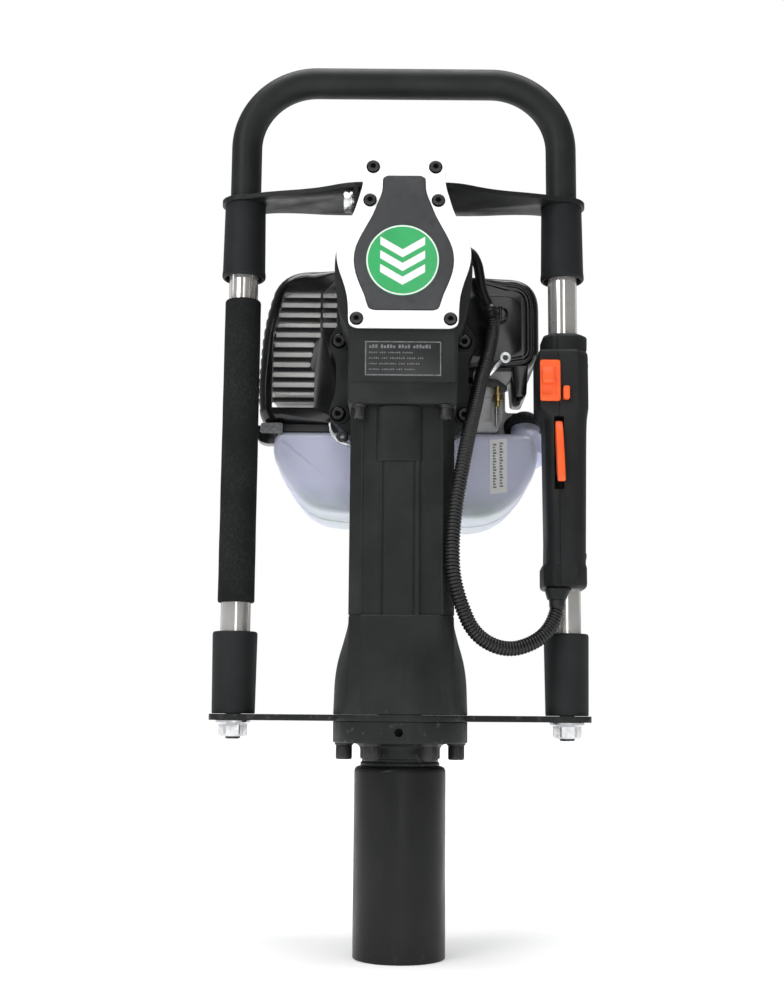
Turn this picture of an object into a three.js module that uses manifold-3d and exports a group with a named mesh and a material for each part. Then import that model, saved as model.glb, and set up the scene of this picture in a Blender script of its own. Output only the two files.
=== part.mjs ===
// A petrol post driver: a pneumatic hammer in a vertical barrel, driven through two gear pairs by a small
// engine at the back, with a sprung bow handle at the sides and a sleeve at the bottom that fits a post.
// Millimetres, +Z up, -Y is the front. Heights in this file count from the lower rim of the post sleeve; the
// group that holds the parts is shifted so that the origin is the face of the anvil that sits on the post.

import * as THREE from 'three';
import { mergeVertices } from 'three/addons/utils/BufferGeometryUtils.js';
import Module from 'manifold-3d';

const wasm = await Module();
wasm.setup();

// ---------------------------------------------------------------- driving dimensions
const ROUND = 24; // sides of an ordinary round piece
const GAP = 0.3; // clearance between neighbours that are shaped to each other

const sleeve = { outer: 36.5, inner: 33, top: 148, roof: 143 };
const anvilFace = 130; // height of the face that strikes the post, the depth of the socket
const neck = { radius: 32, bore: 19 };
const ring = { radius: 54, low: 166, top: 183 };
const lowerPlate = { low: 183, top: 188 };
const upperPlate = { low: 622, top: 626 };
const barrel = { half: 41.5, chamfer: 9.5, rear: 28, low: 188, shoulder: 264.5, top: 433, bore: 22.7 };
const bolt = { circle: 45, head: 6.5, shank: 3.9, hole: 4.5, low: 153, top: 212, count: 6 };

const crankAxis = 548; // height of the hammer's crank
const engineAxis = 473; // height of the engine's crankshaft
const housing = { front: -55, blockFront: -50, back: 28, wall: 22, low: 433, blockTop: 493, half: 44 };
const cover = { face: -60, back: -55, inlayFace: -62 };

const tube = { x: 136.7, y: 20, outer: 12.3, inner: 10.3, bend: 61, top: 736, low: 218 };
const sheath = { outer: 13.1, inner: 12.6, low: 584.3 };
const lug = 19.3;
const stud = { radius: 6.2, low: 168, top: 250 };
const upperSleeve = { low: 556.5, lowRadius: 18.6, topRadius: 17.5, bore: 15.9 };
const lowerSleeve = { top: 255, lowRadius: 17.5, topRadius: 18.6, bore: 15.6 };
const foam = { low: 279, top: 537, outer: 15.1 };
const springCollar = { low: 580, top: 584, radius: 15.3 };

const grip = { low: 291, top: 506, front: -10, back: 38, seam: 129.5 };
const clutch = { front: 28.3, back: 52, low: 415, top: 531, half: 60 };
const crankcase = { front: 52.3, back: 148 };
const cylinder = { half: 37, low: 516, top: 566, front: 72, back: 138 };
const tank = { left: -112, right: 119, low: 361, top: 432, front: 54, back: 206 };
const filler = { x: 110, y: 82, z: 428, tilt: 20, radius: 13 };
const starter = { radius: 72, front: 172, back: 214 };

const gearModule = 1.5;
const backlash = 0.15; // extra distance between the centres of two gears
const teeth = { drum: 12, layWheel: 32, layPinion: 13, crank: 47 };
const layAxis = layShaftPlace();
const crankThrow = 16;
const wristPin = 390; // height of the drive piston's pin

// The lay shaft stands at both gear pairs' centre distances from the two axes that it joins.
function layShaftPlace() {
  const toDrum = (gearModule * (teeth.drum + teeth.layWheel)) / 2 + backlash;
  const toCrank = (gearModule * (teeth.crank + teeth.layPinion)) / 2 + backlash;
  const apart = crankAxis - engineAxis;
  const up = (toDrum ** 2 - toCrank ** 2 + apart ** 2) / (2 * apart);
  return { x: Math.sqrt(toDrum ** 2 - up ** 2), z: engineAxis + up };
}

// ---------------------------------------------------------------- solids and booleans
// The closed solid of a geometry; a profile drawn the other way round is turned to face out.
function solid(geometry) {
  const flat = geometry.index ? geometry.toNonIndexed() : geometry.clone();
  flat.deleteAttribute('normal');
  flat.deleteAttribute('uv');
  const merged = mergeVertices(flat, 1e-4);
  const faces = new Uint32Array(merged.index.array);
  const points = merged.attributes.position.array;
  if (signedVolume(points, faces) < 0) {
    for (let i = 0; i < faces.length; i += 3) [faces[i + 1], faces[i + 2]] = [faces[i + 2], faces[i + 1]];
  }
  return new wasm.Manifold(new wasm.Mesh({ numProp: 3, vertProperties: points, triVerts: faces }));
}

function signedVolume(points, faces) {
  let sum = 0;
  const corner = (i) => new THREE.Vector3().fromArray(points, 3 * faces[i]);
  for (let i = 0; i < faces.length; i += 3) sum += corner(i).dot(corner(i + 1).cross(corner(i + 2)));
  return sum;
}

// Adds each solid to the first.
function join(first, ...others) {
  return others.reduce((sum, other) => sum.add(other), first);
}

// Takes each solid away from the first.
function cut(first, ...others) {
  return others.reduce((rest, other) => rest.subtract(other), first);
}

function geometryOf(shape) {
  const mesh = shape.getMesh();
  const points = new THREE.BufferAttribute(new Float32Array(mesh.vertProperties), 3);
  const geometry = new THREE.BufferGeometry();
  geometry.setAttribute('position', points);
  geometry.setIndex(new THREE.BufferAttribute(new Uint32Array(mesh.triVerts), 1));
  geometry.computeVertexNormals();
  return geometry;
}

// A box between two corners.
function box(x0, x1, y0, y1, z0, z1) {
  const geometry = new THREE.BoxGeometry(x1 - x0, y1 - y0, z1 - z0);
  return solid(geometry.translate((x0 + x1) / 2, (y0 + y1) / 2, (z0 + z1) / 2));
}

// A round bar along one axis, between two stations on it; the other two coordinates place its centre.
function bar(axis, radius, from, to, a = 0, b = 0, sides = ROUND) {
  const geometry = new THREE.CylinderGeometry(radius, radius, to - from, sides);
  const middle = (from + to) / 2;
  if (axis === 'x') return solid(geometry.rotateZ(Math.PI / 2).translate(middle, a, b));
  if (axis === 'y') return solid(geometry.translate(a, middle, b));
  return solid(geometry.rotateX(Math.PI / 2).translate(a, b, middle));
}

// A turned piece about a vertical line; the profile is [radius, height] pairs and closes on itself.
function turned(profile, x = 0, y = 0, sides = ROUND) {
  const points = [...profile, profile[0]].map(([r, z]) => new THREE.Vector2(r, z));
  return solid(new THREE.LatheGeometry(points, sides).rotateX(Math.PI / 2).translate(x, y, 0));
}

// A turned piece whose profile starts and ends on the axis.
function turnedSolid(profile, x = 0, y = 0, sides = ROUND) {
  const points = profile.map(([r, z]) => new THREE.Vector2(r, z));
  return solid(new THREE.LatheGeometry(points, sides).rotateX(Math.PI / 2).translate(x, y, 0));
}

// An outline in X and Z, extruded along Y.
function slabY(outline, y0, y1, corners = 4) {
  const geometry = new THREE.ExtrudeGeometry(outline, { depth: y1 - y0, bevelEnabled: false, curveSegments: corners });
  return solid(geometry.rotateX(Math.PI / 2).translate(0, y1, 0));
}

// An outline in X and Y, extruded up Z.
function slabZ(outline, z0, z1, corners = 4) {
  const geometry = new THREE.ExtrudeGeometry(outline, { depth: z1 - z0, bevelEnabled: false, curveSegments: corners });
  return solid(geometry.translate(0, 0, z0));
}

// An outline in Y and Z, extruded along X.
function slabX(outline, x0, x1, corners = 4) {
  const geometry = new THREE.ExtrudeGeometry(outline, { depth: x1 - x0, bevelEnabled: false, curveSegments: corners });
  const turn = new THREE.Matrix4().makeBasis(
    new THREE.Vector3(0, 1, 0), new THREE.Vector3(0, 0, 1), new THREE.Vector3(1, 0, 0));
  return solid(geometry.applyMatrix4(turn).translate(x0, 0, 0));
}

// A closed outline through [a, b] points; a third number rounds that corner, by less than half of either edge.
function outline(points) {
  const shape = new THREE.Shape();
  const count = points.length;
  const at = (i) => new THREE.Vector2(...points[(i + count) % count].slice(0, 2));
  const towards = (corner, other, radius) => {
    const edge = other.clone().sub(corner);
    return corner.clone().addScaledVector(edge, Math.min(radius / edge.length(), 0.45));
  };
  points.forEach(([, , radius = 0], i) => {
    const corner = at(i);
    const before = towards(corner, at(i - 1), radius);
    const after = towards(corner, at(i + 1), radius);
    if (i === 0) shape.moveTo(before.x, before.y);
    else shape.lineTo(before.x, before.y);
    if (radius > 0) shape.quadraticCurveTo(corner.x, corner.y, after.x, after.y);
  });
  shape.closePath();
  return shape;
}

// The same outline mirrored in the second axis: points run up the right side from the bottom.
function symmetric(points) {
  const left = [...points].reverse().map(([a, b, radius]) => [-a, b, radius]);
  return outline([...points, ...left]);
}

// A polyline whose equal steps are its own points, so that straight runs need no extra sections.
class Route extends THREE.Curve {
  constructor(points) {
    super();
    this.points = points.map((p) => new THREE.Vector3(...p));
  }
  getPoint(t, target = new THREE.Vector3()) {
    const s = t * (this.points.length - 1);
    const i = Math.min(Math.floor(s), this.points.length - 2);
    return target.lerpVectors(this.points[i], this.points[i + 1], s - i);
  }
  getUtoTmapping(u) {
    return u;
  }
}

// A round tube or rod swept along points; a bore makes it hollow.
function swept(points, radius, sides, bore = 0) {
  const section = new THREE.Shape();
  section.absarc(0, 0, radius, 0, 2 * Math.PI);
  if (bore > 0) section.holes.push(new THREE.Path().absarc(0, 0, bore, 0, 2 * Math.PI, true));
  const options = { steps: points.length - 1, extrudePath: new Route(points), curveSegments: sides };
  return solid(new THREE.ExtrudeGeometry(section, options));
}

// ---------------------------------------------------------------- the assembly
const object = new THREE.Group();
const parts = new THREE.Group();
parts.position.z = -anvilFace;
object.add(parts);

const finish = {
  black: { color: 0x2d2f2f, roughness: 0.5, metalness: 0.2 },
  blackPlastic: { color: 0x2b2d2e, roughness: 0.6, metalness: 0 },
  glossBlack: { color: 0x17181a, roughness: 0.2, metalness: 0 },
  inlay: { color: 0x4b4c4e, roughness: 0.55, metalness: 0.1 },
  white: { color: 0xf4f5f6, roughness: 0.35, metalness: 0.1 },
  foam: { color: 0x323434, roughness: 0.95, metalness: 0 },
  chrome: { color: 0xd8dadd, roughness: 0.12, metalness: 1 },
  zinc: { color: 0xb8bcc0, roughness: 0.35, metalness: 1 },
  oxide: { color: 0x1e1f20, roughness: 0.45, metalness: 0.6 },
  steel: { color: 0x8d9094, roughness: 0.4, metalness: 1 },
  cast: { color: 0xa9abad, roughness: 0.6, metalness: 0.8 },
  orange: { color: 0xff692d, roughness: 0.35, metalness: 0 },
  tank: { color: 0xbec3e1, roughness: 0.4, metalness: 0, transparent: true, opacity: 0.75 },
};

function add(name, shape, look) {
  const mesh = new THREE.Mesh(geometryOf(shape), new THREE.MeshStandardMaterial(finish[look]));
  mesh.name = name;
  parts.add(mesh);
}

// Places made by a loop over the two sides of the handle.
const sides = [['left', -tube.x], ['right', tube.x]];
const circle = (count, radius) => Array.from({ length: count }, (_, i) => {
  const angle = (2 * Math.PI * i) / count;
  return [radius * Math.cos(angle), radius * Math.sin(angle)];
});
const boltPlaces = circle(bolt.count, bolt.circle);
const boltHoles = boltPlaces.map(([x, y]) => bar('z', bolt.hole, ring.low - 1, bolt.top + 2, x, y, 8));

// ---------------------------------------------------------------- nose: sleeve, anvil, flange, bolts
function postSleeve() {
  return turned([
    [sleeve.inner, 0], [sleeve.outer, 0], [sleeve.outer, sleeve.top - 2], [sleeve.outer - 2, sleeve.top],
    [neck.bore + 3, sleeve.top], [neck.bore + 3, sleeve.roof], [sleeve.inner, sleeve.roof],
  ]);
}

function noseFlange() {
  const fillet = 5;
  const body = turned([
    [neck.bore, sleeve.top], [neck.radius, sleeve.top], [neck.radius, ring.low - fillet],
    [neck.radius + 1.5, ring.low - 1.5], [neck.radius + fillet, ring.low], [ring.radius, ring.low],
    [ring.radius, ring.top], [neck.bore, ring.top],
  ]);
  const oilHole = bar('y', 3.25, -ring.radius - 1, -ring.radius + 14, 0, 174.5, 12);
  return cut(body, oilHole, ...boltHoles);
}

function flangeBolt(x, y) {
  const head = bar('z', bolt.head, bolt.low, ring.low - 2, x, y, 12);
  const washer = bar('z', bolt.head + 1, ring.low - 2, ring.low, x, y, 12);
  const shank = bar('z', bolt.shank, ring.low - 2, bolt.top, x, y, 8);
  const socket = bar('z', 3.4, bolt.low - 1, bolt.low + 5, x, y, 6);
  return cut(join(head, washer, shank), socket);
}

function anvil() {
  const head = 12;
  return turnedSolid([
    [0, anvilFace], [sleeve.inner - 1.5, anvilFace], [sleeve.inner - 0.5, anvilFace + 1],
    [sleeve.inner - 0.5, anvilFace + head], [neck.bore - 1, anvilFace + head], [neck.bore - 1, 200], [0, 200],
  ]);
}

add('post_sleeve', postSleeve(), 'black');
add('nose_flange', noseFlange(), 'black');
boltPlaces.forEach(([x, y], i) => add(`flange_bolt_${i + 1}`, flangeBolt(x, y), 'oxide'));
add('anvil', anvil(), 'steel');

// ---------------------------------------------------------------- barrel with its bell
// The bell's radius falls in an S from the flange to the barrel.
const bell = [[54, 188], [53.2, 214], [51.6, 227], [49.5, 236], [47, 244], [44.8, 252], [42.9, 259], [41.8, 264.5]];

function barrelHousing() {
  const { half, chamfer, rear, low, shoulder, top, bore } = barrel;
  const turnedBell = turnedSolid([[0, low], ...bell, [0, shoulder]], 0, 0, 32);
  const square = slabZ(outline([
    [-half, -half + chamfer], [-half + chamfer, -half], [half - chamfer, -half], [half, -half + chamfer],
    [half, rear], [-half, rear],
  ]), shoulder - 10, top);
  const boss = slabZ(symmetric([[21, -20], [21, -half + 1, 5], [10, -half - 6, 6]].reverse()), 388, top);
  return cut(join(turnedBell, square, boss), bar('z', bore, low - 1, top + 1), ...boltHoles);
}

add('barrel_housing', barrelHousing(), 'black');

// ---------------------------------------------------------------- gear housing and its front cover
// Half-widths of the cover's outline up from its lower edge.
const coverSide = [
  [41, 492.5, 6], [44.8, 501, 3], [47, 519, 6], [54.9, 541, 6], [54.9, 556, 6], [41, 588, 8], [33.2, 614, 8],
  [33, 637, 7],
];
const coverScrews = [[25.3, 627], [27.6, 598.7], [37.5, 500]];

function inset(points, by) {
  return points.map(([a, b, radius]) => [a - by, b, radius]);
}

function gearHousing() {
  const { front, blockFront, back, wall, low, blockTop, half } = housing;
  const head = slabY(symmetric(inset(coverSide, 0.6)), front, back, 3);
  const block = box(-half, half, blockFront, back, low, blockTop + 8);
  const caseBody = join(head, block);
  const room = slabY(symmetric([
    [37, 459, 8], [38, 500], [46, 541], [46, 556], [34, 590], [26, 616], [20, 629, 6],
  ]), front - 1, wall, 3);
  const keepFront = box(-half, half, blockFront - 1, blockFront + 8, low - 1, blockTop - 1);
  const rodWell = bar('z', barrel.bore, low - 1, 470);
  const crankHole = bar('y', 10.5, wall - 1, back + 1, 0, crankAxis);
  const drumHole = bar('y', 8.6, wall - 1, back + 1, 0, engineAxis, 20);
  const layHole = bar('y', 5.4, wall - 1, back + 1, layAxis.x, layAxis.z, 16);
  const open = cut(caseBody, cut(room, keepFront), rodWell, crankHole, drumHole, layHole);
  const screwHoles = coverScrews.flatMap(([x, z]) => [-1, 1].map((s) => (
    bar('y', 2.6, front - 1, front + 12, s * x, z, 6))));
  return cut(open, ...screwHoles);
}

function frontCover() {
  const plate = slabY(symmetric(coverSide), cover.face, cover.back, 4);
  const screwHoles = coverScrews.flatMap(([x, z]) => [-1, 1].map((s) => (
    bar('y', 3.2, cover.face - 1, cover.back + 1, s * x, z, 8))));
  return cut(plate, ...screwHoles);
}

function coverInlay() {
  const shape = symmetric([
    [28.5, 508, 8], [32.7, 523, 4], [40.2, 546, 7], [32.7, 573.5, 4], [20.6, 594, 4], [17.8, 619, 4],
  ]);
  return slabY(shape, cover.inlayFace, cover.face, 4);
}

add('gear_housing', gearHousing(), 'black');
add('front_cover', frontCover(), 'white');
add('cover_inlay', coverInlay(), 'inlay');

// ---------------------------------------------------------------- brackets, sleeves, studs and springs
function upperBracket() {
  const { low, top } = upperPlate;
  const edge = [
    [37.6, -30], [54, -25], [71, -17], [88, -12], [106, -8], [120, -3],
    [tube.x, tube.y - 20, 6], [tube.x + 20, tube.y - 20, 14], [tube.x + 20, tube.y + 20, 14], [tube.x, tube.y + 20, 6],
    [105, 32], [60, 38],
  ];
  const arms = slabZ(symmetric(edge), low, top);
  const tab = box(-41.44, -38.08, -30, -12, low - 18, top);
  const room = slabY(symmetric(inset(coverSide, 0.6 - GAP)), -80, housing.back + GAP);
  const holes = sides.map(([, x]) => bar('z', 13.6, low - 1, top + 1, x, tube.y));
  const eye = bar('x', 4.4, -60, -30, -21, 612, 12);
  return cut(join(arms, tab), room, eye, ...holes);
}

function lowerBracket() {
  const { low, top } = lowerPlate;
  const arm = outline([
    [-tube.x, tube.y + lug], [-tube.x - lug, tube.y + lug, 16], [-tube.x - lug, tube.y - lug, 16],
    [-tube.x, tube.y - lug], [-60, -14], [60, -14], [tube.x, tube.y - lug],
    [tube.x + lug, tube.y - lug, 16], [tube.x + lug, tube.y + lug, 16], [tube.x, tube.y + lug], [60, 30], [-60, 30],
  ]);
  const disc = bar('z', ring.radius, low, top, 0, 0, 32);
  const holes = sides.map(([, x]) => bar('z', stud.radius + GAP, low - 1, top + 1, x, tube.y, 20));
  const centre = bar('z', barrel.bore, low - 1, top + 1);
  return cut(join(slabZ(arm, low, top), disc), centre, ...holes, ...boltHoles);
}

function bracketBolt() {
  const head = bar('x', 9.4, -50, -43, -21, 612, 6);
  const washer = bar('x', 9.6, -43, -41.7, -21, 612, 16);
  const shank = bar('x', 4, -43, -38.5, -21, 612, 12);
  return join(head, washer, shank);
}

function sleeveRing(profile, x) {
  return turned(profile, x, tube.y);
}

const upperSleeveProfile = [
  [upperSleeve.bore, upperSleeve.low], [upperSleeve.lowRadius, upperSleeve.low],
  [upperSleeve.topRadius, upperPlate.low], [upperSleeve.bore, upperPlate.low],
];
const lowerSleeveProfile = [
  [lowerSleeve.bore, lowerPlate.top], [lowerSleeve.lowRadius, lowerPlate.top],
  [lowerSleeve.topRadius, lowerSleeve.top], [lowerSleeve.bore, lowerSleeve.top],
];

function studNut(x) {
  const hexagon = bar('z', 12, 170, 181, x, tube.y, 6);
  const flange = bar('z', 14.2, 181, lowerPlate.low, x, tube.y, 24);
  return cut(join(hexagon, flange), bar('z', stud.radius + GAP, 169, 184, x, tube.y, 20));
}

// A compression spring as one helix of round wire.
function coilSpring(x, low, high, radius, wire, turns) {
  const perTurn = 8;
  const points = [];
  for (let i = 0; i <= turns * perTurn; i += 1) {
    const angle = (2 * Math.PI * i) / perTurn;
    const z = low + wire + ((high - low - 2 * wire) * i) / (turns * perTurn);
    points.push([x + radius * Math.cos(angle), tube.y + radius * Math.sin(angle), z]);
  }
  return swept(points, wire, 2);
}

add('upper_bracket', upperBracket(), 'black');
add('lower_bracket', lowerBracket(), 'black');
add('bracket_bolt', bracketBolt(), 'zinc');
for (const [side, x] of sides) {
  add(`upper_sleeve_${side}`, sleeveRing(upperSleeveProfile, x), 'blackPlastic');
  add(`lower_sleeve_${side}`, sleeveRing(lowerSleeveProfile, x), 'blackPlastic');
  add(`stud_${side}`, bar('z', stud.radius, stud.low, stud.top, x, tube.y, 20), 'zinc');
  add(`stud_nut_${side}`, studNut(x), 'zinc');
  add(`upper_spring_${side}`, coilSpring(x, 584.3, 621.7, 14.9, 0.6, 4), 'steel');
  add(`lower_spring_${side}`, coilSpring(x, 188.3, 217.7, 10, 1.4, 4), 'steel');
}

// ---------------------------------------------------------------- bow handle
function bowPath(low, cornerSteps) {
  const points = [[-tube.x, tube.y, low]];
  for (const s of [-1, 1]) {
    for (let i = 0; i <= cornerSteps; i += 1) {
      const angle = (Math.PI / 2) * (s < 0 ? i / cornerSteps : 1 - i / cornerSteps);
      const x = s * (tube.x - tube.bend + tube.bend * Math.cos(angle));
      points.push([x, tube.y, tube.top - tube.bend + tube.bend * Math.sin(angle)]);
    }
  }
  points.push([tube.x, tube.y, low]);
  return points;
}

function handleTube() {
  const bow = swept(bowPath(tube.low, 5), tube.outer, 7, tube.inner);
  const collars = sides.map(([, x]) => turned([
    [tube.outer - 1, springCollar.low], [springCollar.radius, springCollar.low],
    [springCollar.radius, springCollar.top], [tube.outer - 1, springCollar.top],
  ], x, tube.y));
  return join(bow, ...collars);
}

add('handle_tube', handleTube(), 'chrome');
add('handle_sheath', swept(bowPath(sheath.low, 5), sheath.outer, 7, sheath.inner), 'black');
add('left_grip_foam', turned([
  [sheath.inner, foam.low], [foam.outer, foam.low], [foam.outer, foam.top], [sheath.inner, foam.top],
], -tube.x, tube.y), 'foam');

// ---------------------------------------------------------------- throttle grip on the right leg
const trigger = { x0: 126.3, x1: 132.5 };
const lockout = { x0: 141, x1: 156 };
const stopSwitch = { x0: 112.9, x1: 131, low: 444, high: 479, back: -10.2, face: -12.5 };
const switchStem = { x0: 118, x1: 125, low: 456, high: 466 };
const lockButton = { x0: 132.7, x1: 137.9, low: 446.5, high: 457.5 };
const gland = { x: 126.7, y: -2, low: 281.5 };

function gripBody() {
  const side = outline([
    [117.5, grip.low, 3], [153, grip.low, 3], [152.6, 306], [151.6, 330], [151.8, 420], [153.8, 450],
    [153.8, grip.top, 3], [118.5, grip.top, 3], [118.5, 494], [112, 486, 3], [112, 436, 4], [119, 420, 6],
    [119, 330], [118, 306],
  ]);
  const depth = outline([
    [grip.front, grip.low, 3], [grip.back, grip.low, 3], [grip.back, 430], [grip.back + 4, 450],
    [grip.back + 4, 492, 4], [34, grip.top, 4], [2, grip.top, 4], [grip.front, 490, 4],
  ]);
  const body = slabY(side, -30, 60, 3).intersect(slabX(depth, 100, 170, 3));
  const rounded = slabZ(outline([
    [111, grip.front, 7], [155, grip.front, 12], [155, grip.back + 5, 13], [111, grip.back + 5, 14],
  ]), grip.low - 1, grip.top + 1, 3);
  return body.intersect(rounded);
}

function gripShells() {
  const bore = bar('z', tube.outer + GAP, grip.low - 2, grip.top + 2, tube.x, tube.y);
  const proud = grip.front - 10; // a cutter starts well outside the grip
  const triggerWell = box(trigger.x0 - 1, trigger.x1 + 1, proud, 6.4, 372, 434);
  const switchWell = box(switchStem.x0 - 1, switchStem.x1 + 1, proud, -5, switchStem.low - 10, switchStem.high + 2);
  const { x0, x1, low, high } = lockButton;
  const buttonWell = box(x0 - 0.5, x1 + 0.5, proud, 5, low - 0.5, high + 0.5);
  const lockoutWell = box(lockout.x0 - 1, 165, 33.2, 60, 380, 491);
  const glandWell = bar('z', 5, grip.low - 1, grip.low + 20, gland.x, gland.y, 12);
  const body = cut(gripBody(), bore, triggerWell, switchWell, buttonWell, lockoutWell, glandWell);
  const inner = body.intersect(box(90, grip.seam, -60, 80, 200, 600));
  const outer = body.intersect(box(grip.seam + GAP, 180, -60, 80, 200, 600));
  return [inner, outer];
}

function triggerLever() {
  const shape = outline([
    [-8, 429], [-2, 430, 2], [0, 424], [-2, 418], [-8, 405, 4], [-14, 384, 3], [-19, 376, 3], [-24.5, 377, 3],
    [-21, 392, 6], [-16, 409, 6], [-12, 422, 3],
  ]);
  return slabX(shape, trigger.x0, trigger.x1, 3);
}

function lockoutLever() {
  const shape = outline([
    [39, 486, 2], [47, 488, 3], [50, 478, 4], [50.5, 410, 5], [47, 389, 3], [40, 388, 2],
  ]);
  return slabX(shape, lockout.x0, lockout.x1, 3);
}

// The slider's plate lies on the grip's face and hides the slot that its stem runs in.
function stopSwitchSlider() {
  const { x0, x1, low, high, back, face } = stopSwitch;
  const plate = box(x0, x1, face, back, low, high);
  const stem = box(switchStem.x0, switchStem.x1, back, -6, switchStem.low, switchStem.high);
  const thumb = box(x0 + 2, x0 + 12, -17, face, low + 14, low + 27);
  return join(plate, stem, thumb);
}

const [innerShell, outerShell] = gripShells();
add('grip_shell_inner', innerShell, 'blackPlastic');
add('grip_shell_outer', outerShell, 'blackPlastic');
add('trigger', triggerLever(), 'orange');
add('lockout_lever', lockoutLever(), 'blackPlastic');
add('stop_switch', stopSwitchSlider(), 'orange');
add('lock_button', box(lockButton.x0, lockButton.x1, -15, 0.5, lockButton.low, lockButton.high), 'orange');
add('cable_gland', turned([
  [6.2, gland.low], [7.4, gland.low], [8, grip.low - GAP], [6.2, grip.low - GAP],
], gland.x, gland.y, 18), 'blackPlastic');

// ---------------------------------------------------------------- throttle and stop leads in their loom
// It leaves the grip's lower end, swings in a free loop, climbs beside the barrel and ends in the engine's cover.
const loomRoute = [
  [126.7, -2, 281.2], [126.2, -2.5, 272], [121, -6, 260], [113, -11, 251], [102, -16, 244.5], [89.5, -21, 241],
  [76.5, -26.5, 242], [64, -31.5, 248], [54.9, -35.5, 257.5], [48.8, -39, 270], [44, -42, 283.5], [40.6, -43.5, 300],
  [40, -44, 322], [41.8, -44, 346], [44.4, -43, 364], [47.6, -41, 382], [51.4, -36.5, 402], [55.6, -29, 422],
  [60.4, -17, 443], [65.1, -2, 464], [70.6, 12, 483], [75, 24, 501], [77.8, 32, 520], [75.5, 34, 536], [69.6, 35, 552],
  [67, 36, 567], [65, 37, 578], [60, 39, 588], [51, 42.5, 593], [42, 47, 592], [35, 51.5, 588], [30.4, 55.5, 585.2],
  [29.5, 59, 584.5], [29.5, 61.4, 584.5],
];
add('throttle_loom', swept(loomRoute, 6, 4), 'blackPlastic');

// ---------------------------------------------------------------- engine
function clutchHousing() {
  const { front, back, low, top, half } = clutch;
  const body = slabY(symmetric([[half, low, 26], [half, top, 26]]), front, back, 4);
  const room = bar('y', 47, front + 5, back + 1, 0, engineAxis, 32);
  const shaftHole = bar('y', 9, front - 1, front + 6, 0, engineAxis, 20);
  const layEnd = bar('y', 6, front - 1, front + 4, layAxis.x, layAxis.z, 16);
  const crankEnd = box(-12, 12, front - 1, front + 3, top - 1, top + 1);
  return cut(body, room, shaftHole, layEnd, crankEnd);
}

function crankcaseBody() {
  const { front, back } = crankcase;
  const body = bar('y', 39, front, back, 0, engineAxis, 32);
  const neckUp = box(-30, 30, cylinder.front, cylinder.back, engineAxis, cylinder.low);
  const arm = slabY(outline([
    [30, 436], [114, 436, 5], [114, 462, 5], [94, 462, 3], [94, 487, 4], [30, 487],
  ]), 118, 127);
  const flange = cut(bar('y', 52, front, front + 7, 0, engineAxis, 32), box(-60, 60, front - 1, front + 9, 400, 433));
  return cut(join(body, neckUp, arm, flange), bar('y', 9, front - 1, back + 1, 0, engineAxis, 20));
}

function engineCylinder() {
  const { half, low, top, front, back } = cylinder;
  const core = box(-28, 28, front + 6, back - 6, low, top);
  const fins = [];
  for (let z = low + 4; z < top - 3; z += 8) fins.push(box(-half, half, front, back, z, z + 3));
  return join(core, ...fins);
}

function cylinderCover() {
  const outer = slabY(symmetric([[46, 540, 4], [46, 591, 12]]), 62, 148, 4);
  const inner = slabY(symmetric([[43, 530], [43, 588, 10]]), 65, 145, 3);
  return cut(outer, inner);
}

function muffler() {
  const body = slabY(outline([[-118, 466, 10], [-56, 466, 10], [-56, 560, 10], [-108, 560, 14]]), 76, 138, 3);
  const room = slabY(outline([[-115, 469, 7], [-59, 469, 7], [-59, 557, 7], [-106, 557, 11]]), 79, 135, 3);
  const port = bar('x', 11, -58, -37.3, 106, 526, 16);
  return cut(join(body, port), room, bar('x', 8, -62, -37, 106, 526, 12));
}

function mufflerCover() {
  const wall = 3;
  const outer = slabY(outline([
    [-50, 439.5, 4], [-124, 439.5, 12], [-127.5, 470, 12], [-123.5, 530, 14], [-109, 580, 26], [-50, 580, 4],
  ]), 60, 150, 4);
  const inner = slabY(outline([
    [-40, 439.5 + wall], [-121, 439.5 + wall, 10], [-124.5, 470, 10], [-120.5, 529, 12], [-106.5, 580 - wall, 22],
    [-40, 580 - wall],
  ]), 60 + wall, 160, 3);
  const slots = [];
  for (let i = 0; i < 12; i += 1) {
    const z = 455 + i * 9;
    const left = -118 + Math.max(0, i - 7) * 2.6;
    slots.push(box(left, -62, 50, 70, z, z + 4.6));
    slots.push(box(-140, -114 + Math.max(0, i - 7) * 2.6, 74, 136, z, z + 4.6));
  }
  return cut(outer, inner, ...slots);
}

function airCleanerCover() {
  const outer = slabY(outline([
    [60, 572.5], [60, 489, 3], [96, 489, 2], [98, 464, 5], [109, 464, 5], [112, 489, 4], [121, 500, 4],
    [121, 572.5, 28],
  ]), 55, 142, 5);
  const inner = slabY(outline([
    [50, 569.5], [50, 492], [100, 492], [102, 470, 3], [106, 470, 3], [109, 492], [118, 502, 3],
    [118, 569.5, 25],
  ]), 58, 139, 4);
  return cut(outer, inner);
}

function carburetor() {
  return join(box(50, 74, 84, 112, 500, 530), bar('x', 12, 38.3, 90, 98, 515, 20));
}

function tankOutline(by) {
  const { left, right, low, top } = tank;
  return outline([
    [left + by, top - by, 6], [left + 4 + by, 404, 16], [-97 + by, 382, 18], [-62, low + 4 + by, 14],
    [-30, low + by, 6], [40, low + by, 6], [68, low + 5 + by, 14], [100 - by, 382, 18],
    [right - 5 - by, 404, 16], [right - by, top - by, 6],
  ]);
}

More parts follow.
